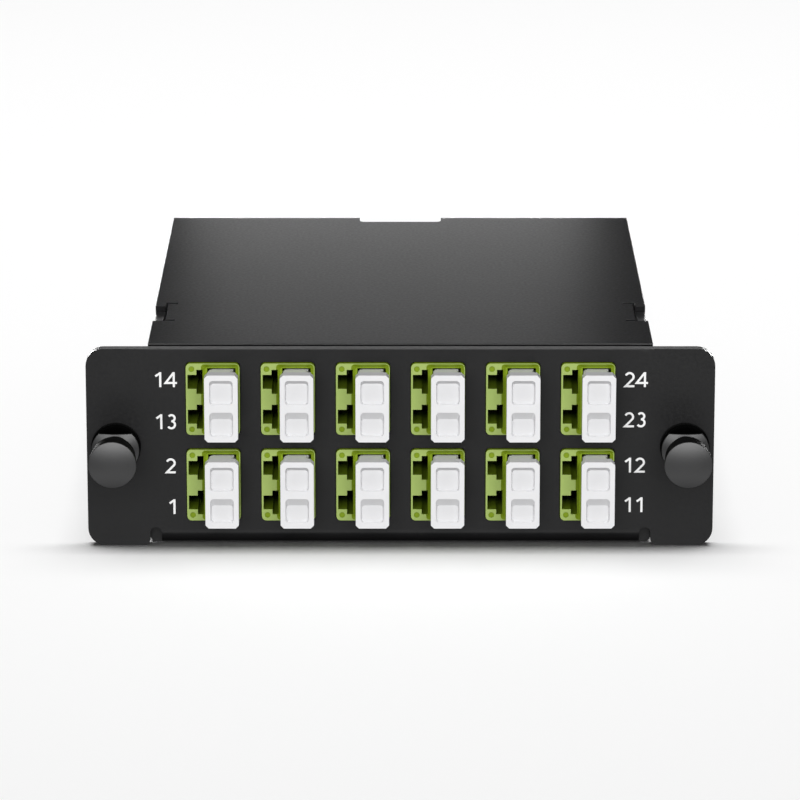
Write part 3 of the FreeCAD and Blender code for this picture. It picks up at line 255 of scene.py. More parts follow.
def addBump(material, shader, height, depth):
    nodes = material.node_tree.nodes
    links = material.node_tree.links
    bump = nodes.new("ShaderNodeBump")
    bump.inputs["Distance"].default_value = depth
    bump.inputs["Strength"].default_value = 1.0
    links.new(height, bump.inputs["Height"])
    links.new(bump.outputs[0], shader.inputs["Normal"])


def makePowderCoat():
    look = {
        "dark": (0.0105, 0.0105, 0.0110), "light": (0.0135, 0.0135, 0.0140),
        "smooth": 0.30, "rough": 0.38, "specular": 0.36,
        "orangePeel": 0.00055, "peelDepth": 0.000010, "cloud": 0.012,
    }
    material, shader = newMaterial("powderCoat", look["dark"], look["rough"],
                                   Specular_IOR_Level=look["specular"])
    links = material.node_tree.links
    place = objectPlace(material)
    cloud = makeNoise(material, place, look["cloud"], 4.0)
    peel = makeNoise(material, place, look["orangePeel"], 2.0)
    links.new(ramp(material, cloud, look["dark"], look["light"]), shader.inputs["Base Color"])
    links.new(ramp(material, peel, look["smooth"], look["rough"]), shader.inputs["Roughness"])
    addBump(material, shader, peel, look["peelDepth"])
    return material


def makeMoulded(name, dark, light, smooth, rough, grain=0.00025, depth=0.000004, cloudSize=0.004, **sockets):
    # moulded plastic: a faint cloud in the colour and the fine grain of a spark-eroded mould
    material, shader = newMaterial(name, light, rough, **sockets)
    links = material.node_tree.links
    place = objectPlace(material)
    cloud = makeNoise(material, place, cloudSize, 3.0)
    fine = makeNoise(material, place, grain, 2.0)
    links.new(ramp(material, cloud, dark, light), shader.inputs["Base Color"])
    links.new(ramp(material, fine, smooth, rough), shader.inputs["Roughness"])
    addBump(material, shader, fine, depth)
    return material


def makeMaterials():
    made = {"powderCoat": makePowderCoat()}
    made["lime"] = makeMoulded("limePlastic", (0.33, 0.44, 0.115), (0.36, 0.47, 0.13), 0.3, 0.4)
    # the rim, marks, sides and softened edges take a darker, more saturated copy of the lime as painted shade
    made["limeShadeRim"] = makeMoulded("limeShadeRim", (0.19, 0.28, 0.006), (0.21, 0.30, 0.009), 0.4, 0.5,
                                  Specular_IOR_Level=0.3)
    # deep inside the ports a still darker copy of the lime is painted shade
    made["limeShadeInside"] = makeMoulded("limeShadeInside", (0.10, 0.15, 0.004), (0.12, 0.18, 0.006), 0.4, 0.5)
    made["capWhite"] = makeMoulded("capWhite", (0.75, 0.75, 0.76), (0.78, 0.78, 0.79), 0.34, 0.44,
                                   Specular_IOR_Level=0.4, Subsurface_Weight=0.1,
                                   Subsurface_Radius=(0.0012, 0.0011, 0.001))
    # a darker grey copy of the cap's white, painted shade on the pockets' floors
    made["capPocketShade"] = makeMoulded("capPocketShade", (0.63, 0.63, 0.64), (0.66, 0.66, 0.67), 0.5, 0.6)
    made["nylon"] = makeMoulded("blackNylon", (0.009, 0.009, 0.010), (0.012, 0.012, 0.013), 0.35, 0.39,
                                grain=0.00012, depth=0.0000003, Specular_IOR_Level=1.0)
    # the grommet's own black, made darker and matt as painted shade under the collar; it is also the painted
    # shade in the lid's seam and on the plungers' sides
    made["grommet"] = makeMoulded("blackGrommetAndShade", (0.003, 0.003, 0.003), (0.005, 0.005, 0.005), 0.5, 0.6,
                                  Specular_IOR_Level=0.12)
    made["blackPlastic"] = makeMoulded("blackPlastic", (0.012, 0.012, 0.013), (0.018, 0.018, 0.019),
                                       0.35, 0.5)
    made["rubber"] = makeMoulded("blackRubber", (0.014, 0.014, 0.014), (0.020, 0.020, 0.020), 0.6, 0.75)
    made["aqua"] = makeMoulded("aquaPlastic", (0.03, 0.33, 0.36), (0.04, 0.40, 0.43), 0.35, 0.5)
    made["screw"] = makeMoulded("blackedSteel", (0.02, 0.02, 0.022), (0.035, 0.035, 0.037), 0.28, 0.42,
                                Metallic=0.8)
    made["ink"] = makeMoulded("printedInk", (0.80, 0.80, 0.80), (0.88, 0.88, 0.88), 0.45, 0.55)
    made["spring"] = makeMoulded("springSteel", (0.48, 0.48, 0.49), (0.6, 0.6, 0.61), 0.22, 0.36,
                                 Metallic=1.0)
    return made


def dress(node, material):
    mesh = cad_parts[node].data
    mesh.materials.clear()
    mesh.materials.append(material)


# Mesh making; outlines are (x, z) in millimetres, depths count from the panel's front face

over = 1.0   # how far a cutter reaches past what it cuts
beyond = 60  # past the sides of everything


def asObject(name, mesh, material, others=()):
    slots = [material, *others]
    while len(mesh.materials) < len(slots):
        mesh.materials.append(None)
    for place, slot in enumerate(slots):
        mesh.materials[place] = slot
    piece = bpy.data.objects.new(name, mesh)
    bpy.context.scene.collection.objects.link(piece)
    return piece


def roundedOutline(halfWide, halfTall, radius, steps=6, centre=(0, 0)):
    outline = []
    for turn, (cornerX, cornerZ) in enumerate(((1, -1), (1, 1), (-1, 1), (-1, -1))):
        for step in range(steps + 1):
            angle = math.radians(-90 + 90 * turn + 90 * step / steps)
            outline.append((centre[0] + cornerX * (halfWide - radius) + radius * math.cos(angle),
                            centre[1] + cornerZ * (halfTall - radius) + radius * math.sin(angle)))
    return outline


def cutOutline(halfWide, halfTall, cut, centre=(0, 0)):
    outline = []
    for x, z in ((1, -1), (1, 1), (-1, 1), (-1, -1)):
        one = (centre[0] + x * (halfWide - cut), centre[1] + z * halfTall)
        other = (centre[0] + x * halfWide, centre[1] + z * (halfTall - cut))
        outline += [one, other] if x * z < 0 else [other, one]
    return outline


def filleted(corners, steps=6):
    # an outline from (u, v) or (u, v, radius) corners, the latter rounded off
    outline = []
    for place, corner in enumerate(corners):
        here = Vector(corner[:2])
        if len(corner) < 3:
            outline.append(tuple(here))
            continue
        back = (Vector(corners[place - 1][:2]) - here).normalized()
        ahead = (Vector(corners[(place + 1) % len(corners)][:2]) - here).normalized()
        half = back.angle(ahead) / 2
        centre = here + (back + ahead).normalized() * corner[2] / math.sin(half)
        first = here + back * corner[2] / math.tan(half) - centre
        last = here + ahead * corner[2] / math.tan(half) - centre
        sweep = first.angle_signed(last)
        for step in range(steps + 1):
            angle = -sweep * step / steps
            outline.append((centre.x + first.x * math.cos(angle) - first.y * math.sin(angle),
                            centre.y + first.x * math.sin(angle) + first.y * math.cos(angle)))
    return outline


placing = {
    "x": lambda level, u, v: (level, u, v),
    "y": lambda level, u, v: (u, level, v),
    "z": lambda level, u, v: (u, v, level),
}


def loft(sections, axis="y"):
    # a closed solid through (level, outline) sections with equally many points, along one axis
    mesh = bpy.data.meshes.new("loft")
    shape = bmesh.new()
    rings = [[shape.verts.new(Vector(placing[axis](level, u, v)) * mm) for u, v in outline]
             for level, outline in sections]
    shape.faces.new(rings[0])
    shape.faces.new(reversed(rings[-1]))
    for near, far in zip(rings, rings[1:]):
        for place in range(len(near)):
            after = (place + 1) % len(near)
            shape.faces.new((near[place], far[place], far[after], near[after]))
    bmesh.ops.recalc_face_normals(shape, faces=shape.faces)
    shape.to_mesh(mesh)
    shape.free()
    return mesh


def lathe(profile, steps=64, centre=(0, 0)):
    # a closed solid turned about the y axis from (depth, radius) points; the end points lie on the axis
    mesh = bpy.data.meshes.new("lathe")
    shape = bmesh.new()
    rings = []
    for depth, radius in profile:
        if radius == 0:
            rings.append([shape.verts.new((centre[0] * mm, depth * mm, centre[1] * mm))])
            continue
        ring = []
        for step in range(steps):
            angle = 2 * math.pi * step / steps
            ring.append(shape.verts.new(((centre[0] + radius * math.cos(angle)) * mm, depth * mm,
                                         (centre[1] + radius * math.sin(angle)) * mm)))
        rings.append(ring)
    for near, far in zip(rings, rings[1:]):
        for step in range(steps):
            after = (step + 1) % steps
            if len(near) == 1:
                shape.faces.new((near[0], far[step], far[after]))
            elif len(far) == 1:
                shape.faces.new((near[step], far[0], near[after]))
            else:
                shape.faces.new((near[step], far[step], far[after], near[after]))
    bmesh.ops.recalc_face_normals(shape, faces=shape.faces)
    shape.to_mesh(mesh)
    shape.free()
    return mesh


def combined(mesh, others, operation, weld=0.002, sliver=0.001):
    # mesh joined with or cut by the others, one after another, then cleaned of points closer than weld
    piece = bpy.data.objects.new("work", mesh)
    bpy.context.scene.collection.objects.link(piece)
    helpers = []
    for other in others:
        helper = bpy.data.objects.new("helper", other)
        bpy.context.scene.collection.objects.link(helper)
        helper.hide_render = True
        helpers.append(helper)
        step = piece.modifiers.new("step", "BOOLEAN")
        step.operation = operation
        step.solver = "EXACT"
        step.object = helper
    bpy.context.view_layer.update()
    depsgraph = bpy.context.evaluated_depsgraph_get()
    result = bpy.data.meshes.new_from_object(piece.evaluated_get(depsgraph))
    for thing in [piece] + helpers:
        bpy.data.objects.remove(thing)
    shape = bmesh.new()
    shape.from_mesh(result)
    bmesh.ops.remove_doubles(shape, verts=shape.verts, dist=weld * mm)
    bmesh.ops.dissolve_degenerate(shape, edges=shape.edges, dist=sliver * mm)
    shape.to_mesh(result)
    shape.free()
    return result


def softenEdges(piece, width, slot=-1, segments=2, angle=30, flatness=80):
    # slot is the place of the material that the softened edges get, -1 for that of the faces beside them
    for polygon in piece.data.polygons:
        polygon.use_smooth = True
    bevel = piece.modifiers.new("edges", "BEVEL")
    bevel.width = width * mm
    bevel.segments = segments
    bevel.limit_method = "ANGLE"
    bevel.angle_limit = math.radians(angle)
    bevel.harden_normals = True
    bevel.material = slot
    bevel.miter_outer = "MITER_ARC"
    bevel.use_clamp_overlap = True
    even = piece.modifiers.new("even", "WEIGHTED_NORMAL")
    even.weight = flatness
    even.keep_sharp = True


def bar(outline, start, end, axis="y"):
    return loft([(start, outline), (end, outline)], axis)


def pin(start, end, radius, steps, centre):
    return lathe([(start, 0), (start, radius), (end, radius), (end, 0)], steps, centre)


def block(low, high):
    (x0, y0, z0), (x1, y1, z1) = low, high
    return bar([(x0, z0), (x1, z0), (x1, z1), (x0, z1)], y0, y1)


# Tray and lid, both folded from sheet

trayLook = {
    "half": halfOf("tray", 0), "top": cornersOf("tray")[1][2], "corner": 3.1,  # the panel
    "sheet": 2.0,
    "bendIn": 1.0,  # inner radius of the bends
    "wallFoot": 1.2,  # outer radius at the foot of the side walls
    "bodyHalf": halfOf("lid", 0), "wallTop": 34.7, "wallFront": 2.3,
    "wallRear": cornersOf("tray")[1][1], "seam": 0.3,  # seam between rear wall and side walls
    "reliefOut": 43.65, "reliefIn": 41.7, "reliefTop": 3.25, "reliefRound": 0.85,  # notches beside the bend
    "earFoot": 1.2, "rolledEdge": 0.14,
    "openingHalf": (4.8, 6.55), "openingCorner": 0.8,  # for an adapter
    "latchHole": 3.25,
    "rearOpening": (6.55, 4.8), "rearCorner": 0.6, "rearHeight": middleOf("rear_adapter", 2),
    "rearNotch": (7.8, 3.5),  # half its width, and its depth
    "screwAt": (31.0, 30.5), "screwHole": 1.5,
    "lockNotch": (18.55, 30.2, 33.2),  # from, to and foot
    "edge": 0.13,
}


def makeTrayMesh(look):
    sheet, bend = look["sheet"], look["bendIn"]
    outer = bend + sheet
    wall, top = look["bodyHalf"], look["wallTop"]
    inner = wall - sheet
    rear = look["wallRear"]
    foot = look["wallFoot"]
    walls = bar(filleted([(-wall, top), (-wall, 0, foot), (wall, 0, foot), (wall, top), (inner, top),
                          (inner, sheet, bend), (-inner, sheet, bend), (-inner, top)]),
                look["wallFront"], rear - look["seam"])
    gapOut, gapIn, gapTop = look["reliefOut"], look["reliefIn"], look["reliefTop"]
    reliefs = [block((left, rear - outer, -over), (right, rear + over, gapTop))
               for left, right in ((-beyond, -gapIn), (gapIn, beyond), (-gapIn, gapIn))]
    walls = combined(walls, reliefs, "DIFFERENCE")
    rearTop = top - look["seam"]
    folded = bar(filleted([(0, look["top"]), (0, 0, outer), (rear, 0, outer), (rear, rearTop),
                           (rear - sheet, rearTop), (rear - sheet, sheet, bend), (sheet, sheet, bend),
                           (sheet, look["top"])]), -gapIn, gapIn, "x")
    ear, gapRound = look["half"], look["reliefRound"]
    panel = bar(filleted([
        (-ear, 0, look["corner"]), (-gapOut, 0, look["earFoot"]), (-gapOut, gapTop, gapRound),
        (-gapIn, gapTop, gapRound), (-gapIn, outer), (gapIn, outer), (gapIn, gapTop, gapRound),
        (gapOut, gapTop, gapRound), (gapOut, 0, look["earFoot"]), (ear, 0, look["corner"]),
        (ear, look["top"], look["corner"]), (-ear, look["top"], look["corner"])], 8), 0, sheet)
    shell = combined(folded, [panel, walls], "UNION")
    edge = look["top"]
    cutters = [bar(filleted([(-over, edge + over), (-over, edge - over), (0, edge - over),
                             (0, edge, look["rolledEdge"]), (over, edge), (over, edge + over)]),
                   -wall, wall, "x")]
    for number in range(1, portPairs + 1):
        centre = [middleOf("adapter_%02d" % number, axis) for axis in (0, 2)]
        cutters.append(bar(roundedOutline(*look["openingHalf"], look["openingCorner"], 6, centre),
                           -over, sheet + over))
    screwX, screwZ = look["screwAt"]
    for sign, side in ((-1, "left"), (1, "right")):
        latchAt = [middleOf("latch_plunger_" + side, axis) for axis in (0, 2)]
        cutters.append(pin(-over, sheet + over, look["latchHole"], 48, latchAt))
        cutters.append(pin(rear - sheet - over, rear + over, look["screwHole"], 24, (sign * screwX, screwZ)))
    cutters.append(bar(roundedOutline(*look["rearOpening"], look["rearCorner"], 4, (0, look["rearHeight"])),
                       rear - sheet - over, rear + over))
    notchHalf, notchDeep = look["rearNotch"]
    cutters.append(block((-notchHalf, rear - sheet - over, rearTop - notchDeep),
                         (notchHalf, rear + over, top + over)))
    front, back, low = look["lockNotch"]
    cutters.append(block((-beyond, front, low), (beyond, back, top + over)))
    return combined(shell, cutters, "DIFFERENCE")


lidLook = {
    "top": cornersOf("lid")[1][2], "foot": cornersOf("lid")[0][2], "sheet": 1.0, "half": halfOf("lid", 0),
    "front": cornersOf("lid")[0][1], "rear": cornersOf("lid")[1][1],
    "frontBend": 0.22, "rearBend": 1.3, "lip": 2.1, "lipHalf": 42.0,
    "notchHalf": 7.8, "notchDeep": 4.56, "notchCorner": 1.0,
    "lockStart": 18.95, "lockEnd": 29.8, "lockDrop": 1.1, "lockInset": 1.8, "lockEdge": 0.23,
    "lockKnee": (0.5, 0.62),  # share of its length, and of its drop there
    "slit": 0.45, "crossSlit": 0.95, "tongueWide": 2.1, "tongueLong": 11.5,
    "screwAt": trayLook["screwAt"], "screwHole": 1.7,
    "facing": 0.9, "near": 0.05,  # a face that looks forward so much, this near the front, lies in the seam and is painted black as its shadow
    "edge": 0.12,
}


def makeLidMesh(look):
    top, sheet, half = look["top"], look["sheet"], look["half"]
    under = top - sheet
    front, rear, foot = look["front"], look["rear"], look["foot"]
    lid = bar(filleted([(front, top - look["lip"]), (front, top, look["frontBend"]),
                        (rear, top, look["rearBend"]), (rear, foot), (rear - sheet, foot),
                        (rear - sheet, under, look["rearBend"] - sheet),
                        (front + sheet, under), (front + sheet, top - look["lip"])], 8), -half, half, "x")
    cutters = []
    notchFront = rear - look["notchDeep"]
    cutters.append(bar(filleted([(-look["notchHalf"], notchFront, look["notchCorner"]),
                                 (look["notchHalf"], notchFront, look["notchCorner"]),
                                 (look["notchHalf"], rear + over), (-look["notchHalf"], rear + over)]),
                       foot - over, top + over, "z"))
    slitEdge = half - look["lockInset"]
    start, end = look["lockStart"], look["lockEnd"]
    tongueFront = start + look["crossSlit"]
    tongueRear = tongueFront + look["tongueLong"]
    tongueIn = slitEdge - look["tongueWide"]
    ramps = []
    screwX, screwZ = look["screwAt"]
    for sign in (-1, 1):
        left, right = sorted((sign * look["lipHalf"], sign * beyond))
        cutters.append(block((left, front - over, top - look["lip"] - over),
                             (right, front + sheet + over, under)))
        outline = [(slitEdge, start), (tongueIn, start), (tongueIn, tongueFront),
                   (slitEdge - look["slit"], tongueFront), (slitEdge - look["slit"], tongueRear),
                   (tongueIn, tongueRear), (tongueIn, tongueRear + look["crossSlit"]),
                   (slitEdge, tongueRear + look["crossSlit"]), (slitEdge, end), (beyond, end),
                   (beyond, start)]
        cutters.append(bar([(sign * u, v) for u, v in outline], under - over, top + over, "z"))
        cutters.append(pin(rear - sheet - over, rear + over, look["screwHole"], 24, (sign * screwX, screwZ)))
        edges = sorted((sign * slitEdge, sign * (half - look["lockEdge"])))
        knee = start + look["lockKnee"][0] * (end - start)
        upper = [(start - over / 2, 0), (start, 0), (knee, look["lockKnee"][1] * look["lockDrop"]),
                 (end, look["lockDrop"])]  # depth and how far it is lowered
        ramps.append(bar([(depth, top - drop) for depth, drop in upper]
                         + [(depth, under - drop) for depth, drop in reversed(upper)], *edges, "x"))
    mesh = combined(combined(lid, cutters, "DIFFERENCE"), ramps, "UNION")
    for polygon in mesh.polygons:  # the lip's face in the seam gets the black grommet material as a painted shadow of the seam
        seamShadow = polygon.normal.y < -look["facing"] and polygon.center.y < (front + look["near"]) * mm
        polygon.material_index = 1 if seamShadow else 0
    return mesh


# Duplex adapters

adapterLook = {
    "half": (4.65, 6.4), "corner": 0.8,
    "front": cornersOf("adapter_01")[0][1], "rear": cornersOf("adapter_01")[1][1],
    "collar": (halfOf("adapter_01", 0), halfOf("adapter_01", 2)), "collarFrom": 1.5, "collarTo": 2.4,
    "portShift": 1.66, "portPitch": 6.25, "portHalf": 2.3, "portLeft": -0.95, "portDepth": 12.5,
    "slotLeft": -4.35, "slotStep": -2.8, "slotRight": -1.73, "slotHalf": 1.25, "slotWideHalf": 2.15,
    "holderRadius": 1.3, "holderHalf": 3.7, "bore": 0.65,
    "rimLeft": -2.0, "rimWall": 0.14, "rimDepth": 0.6, "rimDraw": 0.68, "rimCorner": 0.75,
    "rimDeepCorner": 0.45,
    "markInset": 1.0, "markRadius": 0.5, "markDepth": 0.25,
    "wall": 0.2, "lit": 1.0,  # inside of this much wall, and deeper than this, a face is painted dark as shade
    "edge": 0.12,
}


def portOutlines(look, height):
    # the stepped slot for a plug's latch, and the port beside it
    narrow, wide, half = look["slotHalf"], look["slotWideHalf"], look["portHalf"]
    left, step, right = look["slotLeft"], look["slotStep"], look["slotRight"]
    slot = [(left, height - narrow), (step, height - narrow), (step, height - wide), (right, height - wide),
            (right, height + wide), (step, height + wide), (step, height + narrow), (left, height + narrow)]
    near, far = look["portLeft"], look["portShift"] + half
    return slot, [(near, height - half), (far, height - half), (far, height + half), (near, height + half)]


def makeAdapterMesh(look):
    halfWide, halfTall = look["half"]
    heights = (-look["portPitch"] / 2, look["portPitch"] / 2)
    outline = roundedOutline(halfWide, halfTall, look["corner"])
    collar = roundedOutline(*look["collar"], look["corner"] / 2)
    housing = combined(loft([(look["front"], outline), (look["rear"], outline)]),
                       [loft([(look["collarFrom"], collar), (look["collarTo"], collar)])], "UNION")
    cutters = []
    rimCentre = ((look["rimLeft"] + halfWide - look["rimWall"]) / 2, 0)
    rimHalf = (halfWide - look["rimWall"] - look["rimLeft"]) / 2
    rimTall = halfTall - look["rimWall"]
    draw, depth = look["rimDraw"], look["rimDepth"]
    ahead = draw * over / depth  # the cutter starts in front of the face, on the same slope
    cutters.append(loft([
        (look["front"] - over, roundedOutline(rimHalf + ahead, rimTall + ahead, look["rimCorner"], 4,
                                              rimCentre)),
        (look["front"] + depth, roundedOutline(rimHalf - draw, rimTall - draw, look["rimDeepCorner"], 4,
                                               rimCentre))]))
    middle = (look["front"] + look["rear"]) / 2
    markX, markZ = look["markInset"] - halfWide, halfTall - look["markInset"]
    for height in heights:
        for outline in portOutlines(look, height):
            cutters.append(bar(outline, look["front"] - over, look["front"] + look["portDepth"]))
            cutters.append(bar(outline, look["rear"] - look["portDepth"], look["rear"] + over))
        cutters.append(pin(look["front"] - over, look["front"] + look["markDepth"], look["markRadius"], 20,
                           (markX, math.copysign(markZ, height))))
    mesh = combined(housing, cutters, "DIFFERENCE")
    holders = []
    bores = []
    for height in heights:
        centre = (look["portShift"], height)
        half = look["holderHalf"]
        holders.append(pin(middle - half, middle + half, look["holderRadius"], 28, centre))
        bores.append(pin(middle - half - over, middle + half + over, look["bore"], 28, centre))
    mesh = combined(combined(mesh, holders, "UNION"), bores, "DIFFERENCE")
    side, foot = (halfWide - look["wall"]) * mm, (halfTall - look["wall"]) * mm
    back = look["rear"] - look["front"] - 0.1
    for polygon in mesh.polygons:  # 0 the front face, 1 deep inside with painted deep shade, 2 rim, marks and sides with a darker, more saturated painted shade
        inside = abs(polygon.center.x) < side and abs(polygon.center.z) < foot
        behind = polygon.center.y / mm - look["front"]  # behind the front face
        deep = inside and look["lit"] < behind < back
        polygon.material_index = 0 if behind < 0.01 else 1 if deep else 2
    return mesh


# Dust caps

capLook = {
    "head": (halfOf("dust_cap_01", 0), halfOf("dust_cap_01", 2)), "headCut": 0.55,
    "face": cornersOf("dust_cap_01")[0][1], "headBack": -4.8,
    "neckHalf": (2.12, 5.1), "neckCut": 0.3, "neckShift": -0.35, "neckFront": -3.6, "neckEnd": 0.3,
    "plugStart": 0.25, "plugEnd": cornersOf("dust_cap_01")[1][1], "plugHalf": 2.17, "plugCorner": 0.15,
    "plugLead": 0.42, "plugLeadLong": 2.5, "plugTip": 0.3, "plugTipLong": 0.6,
    "portPitch": adapterLook["portPitch"],
    "pocket": (2.035, 2.13), "pocketPitch": 5.65, "pocketDepth": 0.75, "pocketCorner": 0.6,
    "pocketDraft": 0.16, "pocketTilt": 0.05,
    "pocketSlopes": (1.15, 0.5),  # how far the wall above slopes, in the lower and the upper pocket
    "edge": 0.14,
}


def makeCapMesh(look):
    head = cutOutline(*look["head"], look["headCut"])
    neck = cutOutline(*look["neckHalf"], look["neckCut"], (look["neckShift"], 0))
    body = loft([(look["face"], head), (look["headBack"], head), (look["neckFront"], neck),
                 (look["neckEnd"], neck)])
    plugs = []
    pockets = []
    ahead = 0.5  # the pockets' cutters start this far in front of the face
    for sign in (-1, 1):
        port = (0, sign * look["portPitch"] / 2)
        lead, plug, tip = (roundedOutline(half, half, look["plugCorner"], 2, port)
                           for half in (look["plugHalf"] - look["plugLead"], look["plugHalf"],
                                        look["plugHalf"] - look["plugTip"]))
        plugs.append(loft([(look["plugStart"], lead), (look["plugStart"] + look["plugLeadLong"], plug),
                           (look["plugEnd"] - look["plugTipLong"], plug), (look["plugEnd"], tip)]))
        centre = (0, sign * look["pocketPitch"] / 2)
        draft = look["pocketDraft"]
        wide, tall = look["pocket"]
        slope = draft * ahead / look["pocketDepth"]
        sunk = look["pocketSlopes"][sign > 0] / 2
        near = 1 + ahead / look["pocketDepth"]
        floorTall, floorCentre = tall - draft - sunk, (0, centre[1] - sunk)
        mouthTall = floorTall + (draft + sunk) * near
        mouthCentre = (0, floorCentre[1] + sunk * near)
        pockets.append(loft([
            (look["face"] - ahead,
             roundedOutline(wide + slope, mouthTall, look["pocketCorner"], 6, mouthCentre)),
            (look["face"] + look["pocketDepth"],
             roundedOutline(wide - draft, floorTall, look["pocketCorner"], 6, floorCentre))]))
        for point in pockets[-1].vertices:  # the floor of a pocket lies deeper towards its top
            if point.co.y > look["face"] * mm:
                point.co.y += look["pocketTilt"] * (point.co.z - floorCentre[1] * mm)
    mesh = combined(combined(body, plugs, "UNION"), pockets, "DIFFERENCE")
    deepest = look["face"] + look["pocketDepth"] + 0.3
    for polygon in mesh.polygons:  # the pockets' floors are matt and painted a darker grey as shade
        inShadedPocket = look["face"] + 0.05 < polygon.center.y / mm < deepest
        polygon.material_index = 1 if inShadedPocket and polygon.normal.y < -0.3 else 0
    return mesh


# Latches

plungerLook = {
    "face": cornersOf("latch_plunger_left")[0][1], "dome": 0.5, "domeRings": 8, "domeInset": 0.02,
    "rim": halfOf("latch_plunger_left", 0), "rimBack": -11.2, "waist": 3.6, "grip": 3.8, "gripEnd": -7.2,
    "neck": 2.6, "collarFront": -3.0, "collarBack": -1.9, "cone": 0.5, "flat": 3.0,
    "shank": 2.0, "bulbFront": 13.3, "bulb": 2.5, "bulbSlope": 0.5,
    "bulbBack": cornersOf("latch_plunger_left")[1][1], "edge": 0.3,
}


def makePlungerMesh(look):
    shares = [ring / look["domeRings"] for ring in range(look["domeRings"] + 1)]
    domed = [(look["face"] + look["dome"] * share * share, (look["rim"] - look["domeInset"]) * share)
             for share in shares]
    mesh = lathe(domed + [
        (look["rimBack"], look["rim"]), (look["rimBack"], look["waist"]), (look["gripEnd"], look["grip"]),
        (look["gripEnd"], look["neck"]), (look["collarFront"], look["neck"]),
        (look["collarFront"] + look["cone"], look["rim"]), (look["collarBack"], look["rim"]),
        (look["collarBack"], look["shank"]), (look["bulbFront"], look["shank"]),
        (look["bulbFront"] + look["bulbSlope"], look["bulb"]),
        (look["bulbBack"] - look["bulbSlope"], look["bulb"]),
        (look["bulbBack"], look["shank"]), (look["bulbBack"], 0)], 72)
    wide = look["rim"] + over
    flats = [bar([(-wide, sign * look["flat"]), (wide, sign * look["flat"]), (wide, sign * wide),
                  (-wide, sign * wide)], look["collarFront"] - 0.3, look["collarBack"] + 0.05)
             for sign in (-1, 1)]  # above and below, the collar is flat
    mesh = combined(mesh, flats, "DIFFERENCE")
    for polygon in mesh.polygons:  # the sides take the grommet's darker matt black as painted shade, the faces turned to the front are satin
        polygon.material_index = 1 if abs(polygon.normal.y) < 0.3 else 0
    return mesh


# Port numbers

numberLook = {
    # each label with its left end and its foot
    "labels": [("14", -42.84, 28.6), ("13", -42.75, 21.05), ("2", -40.9, 13.1), ("1", -40.65, 5.7),
               ("24", 38.74, 28.6), ("23", 38.74, 21.4), ("12", 38.69, 13.22), ("11", 38.74, 6.05)],
    "pitch": 2.04, "line": 0.37, "ink": 0.03,
}


def arcPoints(centre, radius, start, end, steps=14):
    turn = [math.radians(start + (end - start) * step / steps) for step in range(steps + 1)]
    return [(centre[0] + radius * math.cos(angle), centre[1] + radius * math.sin(angle)) for angle in turn]


digitStrokes = {  # strokes as points in millimetres from the digit's left foot
    "1": [[(0.42, 1.93), (1.24, 2.52)], [(1.25, 0.0), (1.25, 2.67)]],
    "2": [arcPoints((0.95, 1.83), 0.68, 158, -32) + [(0.27, 0.155), (1.8, 0.155)]],
    "3": [arcPoints((0.99, 1.97), 0.55, 146, -90, 12), arcPoints((0.95, 0.79), 0.64, 90, -148, 14)],
    "4": [[(1.56, 0.0), (1.56, 2.67)], [(1.52, 2.56), (0.14, 0.74), (2.1, 0.74)]],
}


def strokeOutline(points, width):
    # the outline of a line of this width through the points
    left, right = [], []
    for place, point in enumerate(points):
        here = Vector(point)
        ways = []
        if place:
            ways.append((here - Vector(points[place - 1])).normalized())
        if place + 1 < len(points):
            ways.append((Vector(points[place + 1]) - here).normalized())
        along = sum(ways, Vector((0, 0))).normalized()
        reach = width / 2 / max(along.dot(ways[0]), 0.4)  # a sharp turn reaches out no further than this
        left.append((here.x - along.y * reach, here.y + along.x * reach))
        right.append((here.x + along.y * reach, here.y - along.x * reach))
    return left + right[::-1]


def makeNumbers(look, material):
    made = []
    for label, start, foot in look["labels"]:
        strokes = []
        for place, digit in enumerate(label):
            for points in digitStrokes[digit]:
                moved = [(x + start + place * look["pitch"], z + foot) for x, z in points]
                strokes.append(bar(strokeOutline(moved, look["line"]), -look["ink"], look["ink"]))
        mesh = combined(strokes[0], strokes[1:], "UNION")
        number = asObject("port_number_" + label, mesh, material)
        made.append(number)
        number.location = (0, panelFace, 0)
        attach(number, "cassette")
    return made


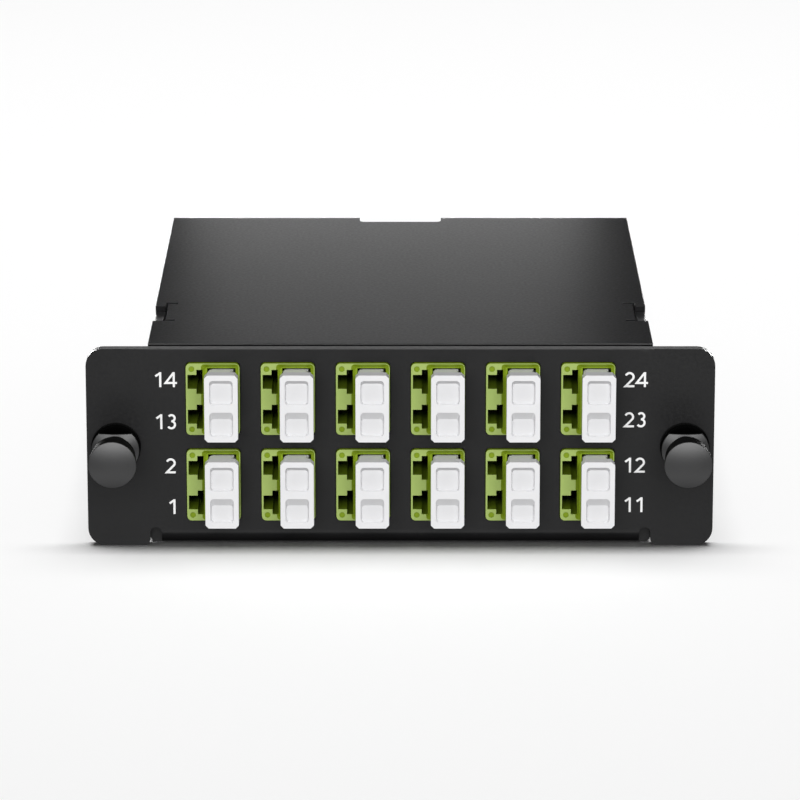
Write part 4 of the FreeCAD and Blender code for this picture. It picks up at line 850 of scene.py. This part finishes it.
def placeOver(name, mesh, material, node, body, edge, middle=None, others=(), slot=-1):
    # a copy of the mesh where the CAD node is, riding on its body in its place
    piece = asObject(name, mesh.copy(), material, others)
    low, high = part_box(node)
    across, height = middle or ((low.x + high.x) / 2, (low.z + high.z) / 2)
    piece.location = (across, panelFace, height)
    softenEdges(piece, edge, slot)
    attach(piece, body)
    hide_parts(node)
    return piece


makeCamera(cameraLook)
reached = makeStudio(studioLook)
materials = makeMaterials()
print("camera, studio and materials made")

tray = placeOver("trayShell", makeTrayMesh(trayLook), materials["powderCoat"], "tray", "cassette",
                 trayLook["edge"], (0, 0))
# the lid's second slot, the grommet's black, is the painted shadow in the seam
lid = placeOver("lidShell", makeLidMesh(lidLook), materials["powderCoat"], "lid", "cassette", lidLook["edge"],
                (0, 0), others=(materials["grommet"],), slot=0)
for kind, piece in (("lid", lid), ("tray", tray), ("black", tray), ("black", lid)):
    reached[kind].objects.link(piece)
print("tray and lid made")
adapterMesh = makeAdapterMesh(adapterLook)
capMesh = makeCapMesh(capLook)
plungerMesh = makePlungerMesh(plungerLook)
for number in range(1, portPairs + 1):
    # the ports' softened edges take the third slot, the rim's painted shade
    port = placeOver("port_%02d" % number, adapterMesh, materials["lime"], "adapter_%02d" % number,
                     "cassette", adapterLook["edge"], others=(materials["limeShadeInside"], materials["limeShadeRim"]),
                     slot=2)
    cap = placeOver("cap_%02d" % number, capMesh, materials["capWhite"], "dust_cap_%02d" % number,
                    "cap_%02d" % number, capLook["edge"], others=(materials["capPocketShade"],), slot=0)
    reached["ports"].objects.link(port)
    reached["ports"].objects.link(cap)
for side in ("left", "right"):
    # the grommet's black is darkened as a painted shadow of the collar
    dress("latch_grommet_" + side, materials["grommet"])
    # the plunger's second slot paints shade on its sides
    plunger = placeOver("plunger_" + side, plungerMesh, materials["nylon"], "latch_plunger_" + side,
                        "latch_" + side, plungerLook["edge"], others=(materials["grommet"],), slot=0)
    reached["latches"].objects.link(plunger)
print("adapters, caps and latches made")
for number in makeNumbers(numberLook, materials["ink"]):
    reached["ports"].objects.link(number)
dressed = {
    "blackPlastic": ["rear_adapter", "fan_out"],
    "rubber": ["rear_dust_cap", "trunk_boot"],
    "aqua": ["trunk_connector", "trunk_cord"],
    "lime": ["inner_connector_%02d" % number for number in range(1, portPairs + 1)],
    "screw": ["lid_screws"],
    "spring": ["adapter_clips", "rear_adapter_clip"],
}
for finish, nodes in dressed.items():
    for node in nodes:
        dress(node, materials[finish])
print("port numbers made, plain CAD pieces dressed")
